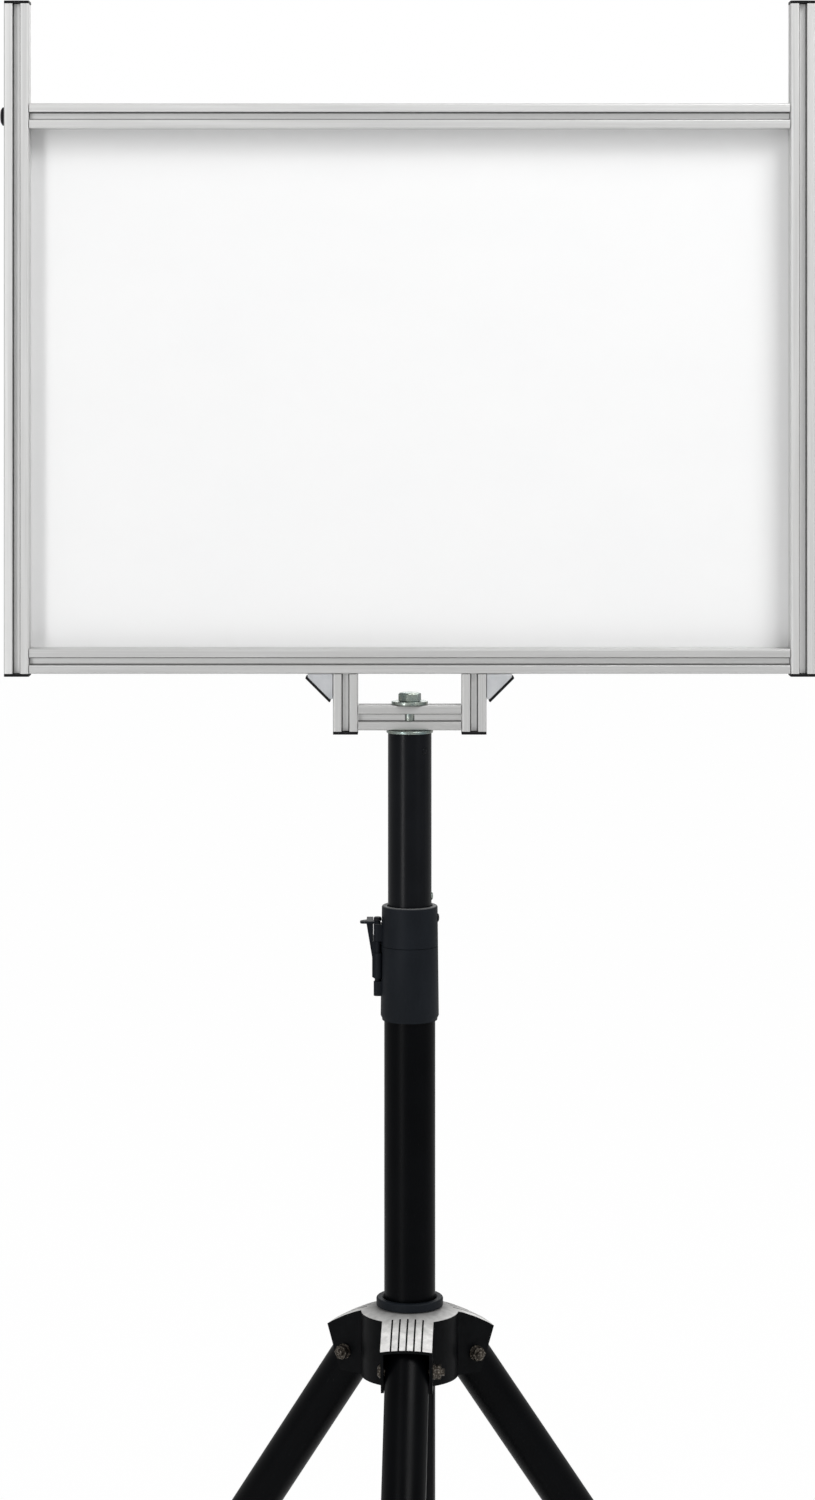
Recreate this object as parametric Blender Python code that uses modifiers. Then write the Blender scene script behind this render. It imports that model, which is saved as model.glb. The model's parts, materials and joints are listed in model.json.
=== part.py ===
"""Rolling board stand: an extruded aluminium frame with a white panel, on a clamped mast and a folding tripod.

Metres, +Z up, the writing side faces -Y. The origin lies on the floor, at the middle of the footprint.
"""

from math import asin
from math import atan2
from math import cos
from math import degrees
from math import hypot
from math import pi
from math import radians
from math import sin
from math import sqrt

import bmesh
import bpy
from mathutils import Matrix
from mathutils import Vector

MM = 0.001

# Fits
GAP = 0.3 * MM  # between faces that seat on each other
PIN_CLEARANCE = 0.4 * MM  # around a pin or shank in its hole, on the radius
SIDE_CLEARANCE = 0.6 * MM  # beside a piece that turns between two walls

# Extruded profile
PROFILE = 20 * MM
PROFILE_CORNER = 1.5 * MM
SLOT_WIDTH = 6.2 * MM
SLOT_BEVEL = 0.45 * MM
SLOT_LIP = 1.8 * MM
SLOT_CAVITY = 11 * MM
SLOT_DEPTH = 6.1 * MM
CORE_BORE = 2.2 * MM  # radius

# Frame
FRAME_WIDTH = 650 * MM
UPRIGHT_LENGTH = 536.8 * MM
TOP_RAIL_DROP = 90 * MM  # from an upright's upper end to the rail's middle
POST_LENGTH = 46 * MM
POST_SPACING = 103 * MM
BAR_RISE = 1 * MM  # of the bar above the posts' lower ends
CAP_THICKNESS = 2 * MM
CAP_PIN_LENGTH = 6 * MM
GUSSET_LEG = 20 * MM
GUSSET_WALL = 2.4 * MM
GUSSET_COVER = 1.7 * MM
RAIL_SCREW_HEAD = 7.4 * MM  # radius
RAIL_SCREW_HEIGHT = 3 * MM
RAIL_SCREW_REACH = 14 * MM  # into the rail's end
RAIL_SCREW_HOLE = 2.6 * MM  # radius

# Panel
PANEL_MARGIN = 1 * MM  # short of the frame's outer edges
PANEL_THICKNESS = 3 * MM
PANEL_CORNER = 3 * MM

# Mast and its head
MAST_RADIUS = 17.5 * MM
MAST_WALL = 1.5 * MM
MAST_LENGTH = 780 * MM
FLANGE_RADIUS = 18.7 * MM
FLANGE_THICKNESS = 2.2 * MM
PLUG_LENGTH = 26 * MM
PLUG_RIVET_RADIUS = 2.8 * MM
PLUG_RIVET_DROP = 13.5 * MM
PLUG_RIVET_TURN = radians(-46)
HEAD_BOLT_RADIUS = 5 * MM
HEAD_BOLT_FLATS = 16.5 * MM
HEAD_BOLT_HEIGHT = 6.6 * MM
HEAD_BOLT_TURN = radians(16)
HEAD_BOLT_THREAD = 18 * MM  # in the plug
WASHER_RADIUS = 14.6 * MM
WASHER_THICKNESS = 2.4 * MM
GUIDE_FLANGE = 10 * MM
GUIDE_SPIGOT = 24 * MM
BUTTON_RADIUS = 3.2 * MM
BUTTON_PROUD = 1.2 * MM
BUTTON_FLANGE = 4.6 * MM  # radius of its collar inside the mast
BUTTON_RISE = 7.4 * MM  # above the clamp's upper face

# Outer tube
TUBE_RADIUS = 20.5 * MM
TUBE_WALL = 1.5 * MM
TUBE_FLOOR_GAP = 150 * MM
END_PLUG_FLANGE = 23 * MM
END_PLUG_THICKNESS = 5 * MM
END_PLUG_DEPTH = 20 * MM

# Clamp
CLAMP_HEIGHT = 91.6 * MM
CLAMP_ABOVE_PIVOTS = 269 * MM
CLAMP_TOP_RADIUS = 22.4 * MM
CLAMP_LOW_RADIUS = 23.4 * MM
CLAMP_CAP_HEIGHT = 32.5 * MM
CLAMP_CHAMFER = 3.5 * MM
CLAMP_GRIP = 27 * MM  # length of tube held in the sleeve
CAM_OFFSET = 25.8 * MM  # from the mast's axis to the cam's
CAM_RADIUS = 4.4 * MM  # at the lobe
CAM_THROW = 0.4 * MM
CAM_PIN_RADIUS = 1.4 * MM
BARREL_RADIUS = 3.2 * MM
UPPER_BARREL = (15 * MM, 28.8 * MM)  # below the clamp's upper face
LOWER_BARREL = (61 * MM, 72.6 * MM)
LEVER_RIB = 2.2 * MM  # thickness of the ribs behind the lever
LEVER_RIB_SET = 1.4 * MM  # of their edge behind the cam's axis
LEVER_RIB_BACK = 6 * MM  # of their front face behind the mast's axis
LEVER_PLATE = 1.9 * MM
LEVER_EYE = 2.4 * MM  # of the finger plate around the cam's axis
LEVER_REACH = 14.1 * MM  # of the finger plate beyond the cam's axis
LEVER_TOP_OUT = 9 * MM  # the wing's outer face beyond the cam's axis, at its top
LEVER_LOW_OUT = 1.6 * MM
LEVER_WING = 34 * MM  # length of the wing behind the cam's axis
SHOE_HEIGHT = 22 * MM
SHOE_WIDTH = 11 * MM

# Hub
HUB_DOME_RADIUS = 106 * MM
HUB_TOP = 42.3 * MM  # the dome's crown, above the leg pivots
HUB_BOTTOM = 16 * MM  # below the leg pivots
HUB_DISC = 39 * MM
HUB_REACH = 66.6 * MM
HUB_LOW_REACH = 54 * MM
HUB_ROOF = 3 * MM
HUB_WALL = 2.3 * MM
HUB_CORE_WALL = 4 * MM
HUB_GROOVES = 5  # along the top of each arm
HUB_GROOVE_PITCH = 6.1 * MM
HUB_GROOVE = 1.4 * MM  # width and depth
HUB_GROOVE_START = 33 * MM  # from the mast's axis
BUSH_RADIUS = 26.8 * MM
BUSH_HEIGHT = 6.5 * MM
BUSH_WALL = 2 * MM
BUSH_SPIGOT = 30 * MM

# Legs
LEG_RADIUS = 17.5 * MM
LEG_WALL = 1.5 * MM
LEG_LENGTH = 620 * MM  # from the pivot to the foot's centre
LEG_ABOVE_PIVOT = 12 * MM
LEG_SPREAD = radians(35)
LEG_TURN = radians(2.6)  # of the tripod under the frame
PIVOT_REACH = 49.1 * MM
LEG_BOLT_RADIUS = 3 * MM
LEG_BOLT_HEAD = 5.2 * MM
LEG_BOLT_HEAD_HEIGHT = 2.6 * MM
LEG_BOLT_WASHER = 6 * MM
LEG_BOLT_WASHER_HEIGHT = 1.4 * MM
LEG_BOLT_NUT_FLATS = 10 * MM
LEG_BOLT_NUT_HEIGHT = 5 * MM
LEG_BOLT_END = 9.2 * MM  # how far the thread stands out of the hub's arm

# Braces and their sliding collar
BRACE_LENGTH = 200 * MM  # also the distance from the leg's pivot to the brace's
BRACE_WIDTH = 15 * MM
BRACE_THICKNESS = 2.5 * MM
BRACE_PIN = 3 * MM
BRACE_RIVET = 5 * MM
BRACE_RIVET_HEIGHT = 1.6 * MM
SLIDER_WALL = 5 * MM
SLIDER_HEIGHT = 34 * MM
SLIDER_EAR = 4 * MM
SLIDER_EAR_MARGIN = 8 * MM
SLIDER_SLOT_TRAVEL = 8.5 * MM  # each way from the middle

# Feet and casters
WHEEL_RADIUS = 25 * MM
WHEEL_WIDTH = 18 * MM
WHEEL_RIM = 17.5 * MM
WHEEL_HUB = 8 * MM
WHEEL_RECESS = 2.5 * MM
AXLE_RADIUS = 3 * MM
CASTER_TRAIL = 18 * MM
FORK_PLATE = 3 * MM
FORK_PLATE_RADIUS = 15.5 * MM
FORK_CHEEK = 2.5 * MM
FORK_OVER_WHEEL = 4 * MM
STEM_RADIUS = 5 * MM
STEM_LENGTH = 20 * MM
FOOT_BOSS_RADIUS = 13 * MM
FOOT_BOSS_GAP = 0.6 * MM
FOOT_KNUCKLE_RISE = 29 * MM  # from the boss's lower face to the knuckle's centre
FOOT_WALL = 3.2 * MM
FOOT_SLEEVE = 42 * MM
FOOT_TUBE_STOP = 14 * MM
BRAKE_PIVOT_OUT = 16 * MM  # beyond the axle
BRAKE_PIVOT_UP = 25 * MM  # above the axle
BRAKE_CAM = 3.6 * MM
BRAKE_LOBE = 1.5 * MM
BRAKE_THROW = radians(25)
BRAKE_PEDAL_LENGTH = 19 * MM
BRAKE_PEDAL_THICKNESS = 2.6 * MM
BRAKE_PEDAL_RISE = radians(14)

ROUND = 32  # segments of a large circle
SMALL = 20  # segments of a pin or a hole

# Heights
FORK_TOP = 2 * WHEEL_RADIUS + FORK_OVER_WHEEL + FORK_PLATE
BOSS_BOTTOM = FORK_TOP + FOOT_BOSS_GAP
KNUCKLE_Z = BOSS_BOTTOM + FOOT_KNUCKLE_RISE
PIVOT_Z = KNUCKLE_Z + LEG_LENGTH * cos(LEG_SPREAD)
SLIDER_Z = PIVOT_Z - 2 * BRACE_LENGTH * cos(LEG_SPREAD)
CLAMP_BOTTOM = PIVOT_Z + CLAMP_ABOVE_PIVOTS
CLAMP_TOP = CLAMP_BOTTOM + CLAMP_HEIGHT
CLAMP_JOINT = CLAMP_TOP - CLAMP_CAP_HEIGHT
TUBE_TOP = CLAMP_BOTTOM + CLAMP_GRIP
MAST_ABOVE_CLAMP = 138.4 * MM
MAST_TOP = CLAMP_TOP + MAST_ABOVE_CLAMP
MAST_BOTTOM = MAST_TOP - MAST_LENGTH
FLANGE_BOTTOM = MAST_TOP + GAP
BAR_BOTTOM = FLANGE_BOTTOM + FLANGE_THICKNESS + GAP
POST_BOTTOM = BAR_BOTTOM - BAR_RISE
FRAME_BOTTOM = POST_BOTTOM + POST_LENGTH + GAP
FRAME_TOP = FRAME_BOTTOM + UPRIGHT_LENGTH
TOP_RAIL_Z = FRAME_TOP - TOP_RAIL_DROP
BOTTOM_RAIL_Z = FRAME_BOTTOM + PROFILE / 2

# The mast's place, from the casters' reach on the floor
KNUCKLE_REACH = PIVOT_REACH + LEG_LENGTH * sin(LEG_SPREAD)
CASTER_REACH = KNUCKLE_REACH + CASTER_TRAIL + WHEEL_RADIUS
LEGS = {
    "front": -pi / 2 - LEG_TURN,
    "left": 5 * pi / 6 - LEG_TURN,
    "right": pi / 6 - LEG_TURN,
}
NUT_SIDES = {"front": 1, "left": 1, "right": -1}
MAST_X = -CASTER_REACH * (cos(LEGS["left"]) + cos(LEGS["right"])) / 2
MAST_Y = -CASTER_REACH * (sin(LEGS["front"]) + sin(LEGS["left"])) / 2


def clear_scene():
    for obj in list(bpy.data.objects):
        bpy.data.objects.remove(obj, do_unlink=True)


def new_collection(name):
    collection = bpy.data.collections.new(name)
    bpy.context.scene.collection.children.link(collection)
    return collection


clear_scene()
PARTS = new_collection("rolling_whiteboard")
TOOLS = new_collection("cutters")


def finish(name, colour, roughness, metallic):
    """A material of its own for one part."""
    material = bpy.data.materials.new(name)
    material.use_nodes = True
    shader = material.node_tree.nodes["Principled BSDF"]
    shader.inputs["Base Color"].default_value = (*colour, 1)
    shader.inputs["Roughness"].default_value = roughness
    shader.inputs["Metallic"].default_value = metallic
    return material


FINISHES = {
    "aluminium": ((0.72, 0.72, 0.71), 0.35, 1.0),
    "cast_aluminium": ((0.56, 0.58, 0.61), 0.45, 1.0),
    "zinc": ((0.62, 0.66, 0.66), 0.3, 1.0),
    "black_steel": ((0.014, 0.016, 0.02), 0.35, 0.0),
    "black_plastic": ((0.02, 0.021, 0.024), 0.5, 0.0),
    "black_casting": ((0.015, 0.016, 0.018), 0.32, 0.0),
    "white_panel": ((0.9, 0.9, 0.9), 0.15, 0.0),
    "rubber": ((0.03, 0.03, 0.03), 0.7, 0.0),
}


def place(obj, parent, at, turn):
    obj.parent = parent
    obj.location = at
    obj.rotation_euler = turn


def part(name, mesh, look, parent=None, at=(0, 0, 0), turn=(0, 0, 0)):
    """One sub-part, with its own material, shaded smooth over its round faces."""
    obj = bpy.data.objects.new(name, mesh)
    PARTS.objects.link(obj)
    place(obj, parent, at, turn)
    mesh.materials.clear()
    mesh.materials.append(finish(name, *FINISHES[look]))
    mesh.shade_smooth()
    mesh.set_sharp_from_angle(angle=radians(30))
    return obj


def axis(name, parent=None, at=(0, 0, 0), turn=(0, 0, 0)):
    """An empty on a joint's axis."""
    empty = bpy.data.objects.new(name, None)
    empty.empty_display_size = 20 * MM
    PARTS.objects.link(empty)
    place(empty, parent, at, turn)
    return empty


def combine(obj, operation, mesh, at=(0, 0, 0), turn=(0, 0, 0)):
    """A Boolean with a tool that is placed in the object's own frame."""
    tool = bpy.data.objects.new(f"{obj.name}_{operation.lower()}_{len(obj.modifiers)}", mesh)
    TOOLS.objects.link(tool)
    place(tool, obj, at, turn)
    tool.hide_render = True
    tool.display_type = "WIRE"
    modifier = obj.modifiers.new(tool.name, "BOOLEAN")
    modifier.operation = operation
    modifier.solver = "EXACT"
    modifier.object = tool


def cut(obj, mesh, at=(0, 0, 0), turn=(0, 0, 0)):
    combine(obj, "DIFFERENCE", mesh, at, turn)


def join(obj, mesh, at=(0, 0, 0), turn=(0, 0, 0)):
    combine(obj, "UNION", mesh, at, turn)


def mesh_from(shape):
    mesh = bpy.data.meshes.new("shape")
    bmesh.ops.recalc_face_normals(shape, faces=shape.faces)
    shape.to_mesh(mesh)
    shape.free()
    return mesh


def box(low, high):
    shape = bmesh.new()
    bmesh.ops.create_cube(shape, size=1)
    low = Vector(low)
    high = Vector(high)
    bmesh.ops.scale(shape, vec=high - low, verts=shape.verts)
    bmesh.ops.translate(shape, vec=(high + low) / 2, verts=shape.verts)
    return mesh_from(shape)


def rod(radius, low, high, segments=SMALL, along="Z"):
    """A cylinder or cone on an axis through the origin, from low to high along it."""
    turns = {
        "X": Matrix.Rotation(pi / 2, 3, "Y"),
        "Y": Matrix.Rotation(-pi / 2, 3, "X"),
        "Z": Matrix.Identity(3),
    }
    shape = bmesh.new()
    bmesh.ops.create_cone(
        shape,
        cap_ends=True,
        segments=segments,
        radius1=radius,
        radius2=radius,
        depth=high - low,
    )
    bmesh.ops.translate(shape, vec=(0, 0, (high + low) / 2), verts=shape.verts)
    bmesh.ops.rotate(shape, cent=(0, 0, 0), matrix=turns[along], verts=shape.verts)
    return mesh_from(shape)


def ball(radius):
    shape = bmesh.new()
    bmesh.ops.create_uvsphere(shape, u_segments=24, v_segments=12, radius=radius)
    return mesh_from(shape)


def evaluated_mesh(obj):
    """The mesh that an object's curve or modifiers make, with the object itself removed."""
    TOOLS.objects.link(obj)
    graph = bpy.context.evaluated_depsgraph_get()
    mesh = bpy.data.meshes.new_from_object(obj.evaluated_get(graph))
    bpy.data.objects.remove(obj, do_unlink=True)
    shape = bmesh.new()
    shape.from_mesh(mesh)
    bmesh.ops.remove_doubles(shape, verts=shape.verts, dist=MM / 1000)
    return mesh_from(shape)


def turned(profile, steps=ROUND):
    """A solid of revolution about Z. The profile runs down its outer side and starts and ends on the axis."""
    mesh = bpy.data.meshes.new("profile")
    edges = [(i, i + 1) for i in range(len(profile) - 1)]
    mesh.from_pydata([(r, 0, z) for r, z in profile], edges, [])
    obj = bpy.data.objects.new("profile", mesh)
    screw = obj.modifiers.new("Screw", "SCREW")
    screw.steps = steps
    screw.render_steps = steps
    screw.use_merge_vertices = True
    screw.merge_threshold = 0.0001
    return evaluated_mesh(obj)


def ring(profile, steps=ROUND):
    """A turned piece with a bore, from a closed profile that starts down its outer side."""
    return turned([*profile, profile[0]], steps)


def tube(outer, inner, low, high, steps=ROUND):
    return ring([(outer, high), (outer, low), (inner, low), (inner, high)], steps)


def extruded(outlines, thickness):
    """Flat outlines in XY, the later ones holes in the first, thickened evenly about Z = 0."""
    curve = bpy.data.curves.new("outline", "CURVE")
    curve.dimensions = "2D"
    curve.fill_mode = "BOTH"
    curve.extrude = thickness / 2
    for points in outlines:
        spline = curve.splines.new("POLY")
        spline.points.add(len(points) - 1)
        spline.use_cyclic_u = True
        for point, (x, y) in zip(spline.points, points):
            point.co = (x, y, 0, 1)
    return evaluated_mesh(bpy.data.objects.new("outline", curve))


def shaped(mesh, operation, shaper):
    """A cutter that another body has trimmed first."""
    obj = bpy.data.objects.new("shaped", mesh)
    combine(obj, operation, shaper)
    return evaluated_mesh(obj)


def arc(centre, radius, start, end, steps):
    """Points along a circular arc, both ends included."""
    angles = [start + (end - start) * i / steps for i in range(steps + 1)]
    return [(centre[0] + radius * cos(a), centre[1] + radius * sin(a)) for a in angles]


def rounded_rectangle(width, height, radius, steps=3):
    x = width / 2 - radius
    y = height / 2 - radius
    points = []
    for i, (cx, cy) in enumerate([(x, y), (-x, y), (-x, -y), (x, -y)]):
        points += arc((cx, cy), radius, i * pi / 2, (i + 1) * pi / 2, steps)
    return points


def stadium(length, radius, steps=6):
    """A slot outline along Y, with round ends whose centres are length apart."""
    upper = arc((0, length / 2), radius, 0, pi, steps)
    lower = arc((0, -length / 2), radius, pi, 2 * pi, steps)
    return upper + lower


def profile_outline():
    """The extruded section: a slot in each face, with a lip, a cavity and sloping walls down to its floor."""
    half = PROFILE / 2
    opening = SLOT_WIDTH / 2
    cavity = SLOT_CAVITY / 2
    lip = half - SLOT_LIP
    floor = half - SLOT_DEPTH
    floor_half = floor - 1.55 * MM
    wall_top = cavity + 1.5 * MM
    corner = half - PROFILE_CORNER
    right_half = [
        (floor_half, floor),
        (cavity, wall_top),
        (cavity, lip),
        (opening, lip),
        (opening, half - SLOT_BEVEL),
        (opening + SLOT_BEVEL, half),
        *arc((corner, corner), PROFILE_CORNER, pi / 2, pi / 4, 2),
    ]
    left_half = [(-x, y) for x, y in reversed(right_half[:-1])]
    face = left_half + right_half
    points = []
    for turn in range(4):
        angle = -turn * pi / 2
        points += [(x * cos(angle) - y * sin(angle), x * sin(angle) + y * cos(angle)) for x, y in face]
    return points


def profile_length(length):
    """A length of the extruded section about Z = 0, with the bore through its core."""
    return extruded([profile_outline(), arc((0, 0), CORE_BORE, 0, 2 * pi * 11 / 12, 11)], length)


ALONG_X = (0, pi / 2, 0)

FRAME = axis("frame_swivel_axis", None, (MAST_X, MAST_Y, 0))


def add_uprights():
    screw_hole = rod(RAIL_SCREW_HOLE, -PROFILE, PROFILE, SMALL, "X")
    for side, sign in (("left", -1), ("right", 1)):
        x = sign * (FRAME_WIDTH - PROFILE) / 2
        middle = (FRAME_TOP + FRAME_BOTTOM) / 2
        upright = part(f"upright_{side}", profile_length(UPRIGHT_LENGTH), "aluminium", FRAME, (x, 0, middle))
        cut(upright, screw_hole, (0, 0, TOP_RAIL_Z - middle))
        add_cap(f"cap_{side}_top", x, FRAME_TOP, 1)
        add_cap(f"cap_{side}_bottom", x, FRAME_BOTTOM, -1)
        add_rail_screw(f"rail_screw_{side}", sign)


def add_cap(name, x, z, up):
    """A plastic end cap with a pin in the core's bore."""
    outline = rounded_rectangle(PROFILE, PROFILE, PROFILE_CORNER)
    middle = up * (GAP + CAP_THICKNESS / 2)
    cap = part(name, extruded([outline], CAP_THICKNESS), "black_plastic", FRAME, (x, 0, z + middle))
    ends = sorted((0, -up * (CAP_THICKNESS / 2 + CAP_PIN_LENGTH)))
    join(cap, rod(CORE_BORE - PIN_CLEARANCE, ends[0], ends[1], 12))


def add_rail_screw(name, sign):
    """The screw through an upright into the core of the top rail."""
    face = FRAME_WIDTH / 2 + GAP
    end = FRAME_WIDTH / 2 - PROFILE - RAIL_SCREW_REACH
    shank = CORE_BORE - PIN_CLEARANCE
    profile = [
        (0, face + RAIL_SCREW_HEIGHT),
        (0.7 * RAIL_SCREW_HEAD, face + RAIL_SCREW_HEIGHT),
        (RAIL_SCREW_HEAD, face + 0.55 * RAIL_SCREW_HEIGHT),
        (RAIL_SCREW_HEAD, face),
        (shank, face),
        (shank, end),
        (0, end),
    ]
    part(name, turned(profile, SMALL), "black_steel", FRAME, (0, 0, TOP_RAIL_Z), (0, sign * pi / 2, 0))


def add_rails():
    length = FRAME_WIDTH - 2 * PROFILE - 2 * GAP
    for name, z in (("top_rail", TOP_RAIL_Z), ("bottom_rail", BOTTOM_RAIL_Z)):
        part(name, profile_length(length), "aluminium", FRAME, (0, 0, z), ALONG_X)


def add_panel():
    """The board lies against the back of the whole frame, from rail to rail."""
    width = FRAME_WIDTH - 2 * PANEL_MARGIN
    height = TOP_RAIL_Z - BOTTOM_RAIL_Z + PROFILE - 2 * PANEL_MARGIN
    outline = rounded_rectangle(width, height, PANEL_CORNER, 4)
    y = PROFILE / 2 + GAP + PANEL_THICKNESS / 2
    middle = (TOP_RAIL_Z + BOTTOM_RAIL_Z) / 2
    mesh = extruded([outline], PANEL_THICKNESS)
    part("whiteboard_panel", mesh, "white_panel", FRAME, (0, y, middle), (pi / 2, 0, 0))


def add_bridge():
    """Two short posts under the bottom rail, joined by the bar that the mast carries."""
    for side, sign in (("left", -1), ("right", 1)):
        x = sign * POST_SPACING / 2
        z = POST_BOTTOM + POST_LENGTH / 2
        part(f"bridge_post_{side}", profile_length(POST_LENGTH), "aluminium", FRAME, (x, 0, z))
        add_cap(f"cap_post_{side}", x, POST_BOTTOM, -1)
        add_gusset(side, sign)
    length = POST_SPACING - PROFILE - 2 * GAP
    at = (0, 0, BAR_BOTTOM + PROFILE / 2)
    bar = part("bridge_bar", profile_length(length), "aluminium", FRAME, at, ALONG_X)
    cut(bar, rod(HEAD_BOLT_RADIUS + PIN_CLEARANCE, -PROFILE, PROFILE, SMALL, "X"))


def add_gusset(side, sign):
    """A cast corner bracket between rail and post, with a snap-on cover along its slope."""
    corner = POST_SPACING / 2 + PROFILE / 2 + GAP
    top = FRAME_BOTTOM - GAP
    depth = PROFILE - 2 * GAP
    leg = GUSSET_LEG
    triangle = [(0, 0), (leg, 0), (leg, -GUSSET_WALL), (GUSSET_WALL, -leg), (0, -leg)]
    inner = leg - GUSSET_WALL
    pocket = [(GUSSET_WALL, -GUSSET_WALL), (leg + inner, -GUSSET_WALL), (GUSSET_WALL, -leg - inner)]
    turn = (pi / 2, 0, 0) if sign > 0 else (pi / 2, 0, pi)
    at = (sign * corner, 0, top)
    gusset = part(f"gusset_{side}", extruded([triangle], depth), "cast_aluminium", FRAME, at, turn)
    cut(gusset, extruded([pocket], depth - 2 * GUSSET_WALL))
    along = sqrt(2) * (leg - GUSSET_WALL)
    middle = (leg + GUSSET_WALL) / 2 + (GAP + GUSSET_COVER / 2) / sqrt(2)
    cover_at = (sign * (corner + middle), 0, top - middle)
    cover_turn = (0, sign * pi / 4, 0)
    low = (-GUSSET_COVER / 2, -depth / 2, -along / 2 - GUSSET_COVER)
    high = (GUSSET_COVER / 2, depth / 2, along / 2 + GUSSET_COVER / 2)
    part(f"gusset_cover_{side}", box(low, high), "black_plastic", FRAME, cover_at, cover_turn)


def hexagon(flats):
    return arc((0, 0), flats / sqrt(3), 0, 2 * pi * 5 / 6, 5)


def add_head():
    """The bolt, washer and flange that hold the bridge on the mast, and the plug that takes the thread."""
    bar_top = BAR_BOTTOM + PROFILE
    washer = tube(WASHER_RADIUS, HEAD_BOLT_RADIUS + PIN_CLEARANCE, 0, WASHER_THICKNESS)
    part("head_washer", washer, "zinc", FRAME, (0, 0, bar_top + GAP))
    seat = bar_top + GAP + WASHER_THICKNESS + GAP
    bolt = extruded([hexagon(HEAD_BOLT_FLATS)], HEAD_BOLT_HEIGHT)
    at = (0, 0, seat + HEAD_BOLT_HEIGHT / 2)
    head = part("head_bolt", bolt, "zinc", FRAME, at, (0, 0, HEAD_BOLT_TURN))
    end = MAST_TOP - HEAD_BOLT_THREAD - at[2]
    join(head, rod(HEAD_BOLT_RADIUS, end, 0))
    crown = [
        (0, HEAD_BOLT_HEIGHT / 2 + MM),
        (HEAD_BOLT_FLATS / 2 - 0.8 * MM, HEAD_BOLT_HEIGHT / 2),
        (HEAD_BOLT_FLATS / 2 + 1.6 * MM, HEAD_BOLT_HEIGHT / 2 - 1.2 * MM),
        (HEAD_BOLT_FLATS, -HEAD_BOLT_HEIGHT),
        (HEAD_BOLT_FLATS, end - MM),
        (0, end - MM),
    ]
    combine(head, "INTERSECT", turned(crown))
    flange = tube(FLANGE_RADIUS, HEAD_BOLT_RADIUS + PIN_CLEARANCE, 0, FLANGE_THICKNESS)
    part("mast_flange", flange, "zinc", FRAME, (0, 0, FLANGE_BOTTOM))
    bore = MAST_RADIUS - MAST_WALL
    plug = tube(bore - GAP, HEAD_BOLT_RADIUS + PIN_CLEARANCE, -PLUG_LENGTH, 0)
    part("mast_plug", plug, "cast_aluminium", FRAME, (0, 0, MAST_TOP))


def add_mast():
    bore = MAST_RADIUS - MAST_WALL
    mast = part("mast_tube", tube(MAST_RADIUS, bore, MAST_BOTTOM, MAST_TOP), "black_steel", FRAME)
    rivet = rod(PLUG_RIVET_RADIUS, bore - MM, MAST_RADIUS + MM, SMALL, "X")
    cut(mast, rivet, (0, 0, MAST_TOP - PLUG_RIVET_DROP), (0, 0, PLUG_RIVET_TURN))
    button_z = CLAMP_TOP + BUTTON_RISE
    hole = rod(BUTTON_RADIUS + PIN_CLEARANCE, bore - MM, MAST_RADIUS + MM, SMALL, "X")
    cut(mast, hole, (0, 0, button_z))
    inner = sqrt(bore**2 - BUTTON_FLANGE**2) - GAP
    profile = [
        (0, MAST_RADIUS + BUTTON_PROUD),
        (0.6 * BUTTON_RADIUS, MAST_RADIUS + BUTTON_PROUD),
        (BUTTON_RADIUS, MAST_RADIUS + 0.4 * BUTTON_PROUD),
        (BUTTON_RADIUS, inner),
        (BUTTON_FLANGE, inner),
        (BUTTON_FLANGE, inner - MAST_WALL),
        (0, inner - MAST_WALL),
    ]
    button = turned(profile, SMALL)
    part("lock_button", button, "zinc", FRAME, (0, 0, button_z), (0, pi / 2, 0))
    guide = turned(
        [
            (0, GUIDE_SPIGOT),
            (bore - PIN_CLEARANCE, GUIDE_SPIGOT),
            (bore - PIN_CLEARANCE, -GAP),
            (TUBE_RADIUS - TUBE_WALL - GAP, -GAP),
            (TUBE_RADIUS - TUBE_WALL - GAP, -GAP - GUIDE_FLANGE),
            (0, -GAP - GUIDE_FLANGE),
        ]
    )
    part("guide_bush", guide, "black_plastic", STAND, (0, 0, MAST_BOTTOM))


STAND = axis("mast_axis", None, (MAST_X, MAST_Y, 0))


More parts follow.
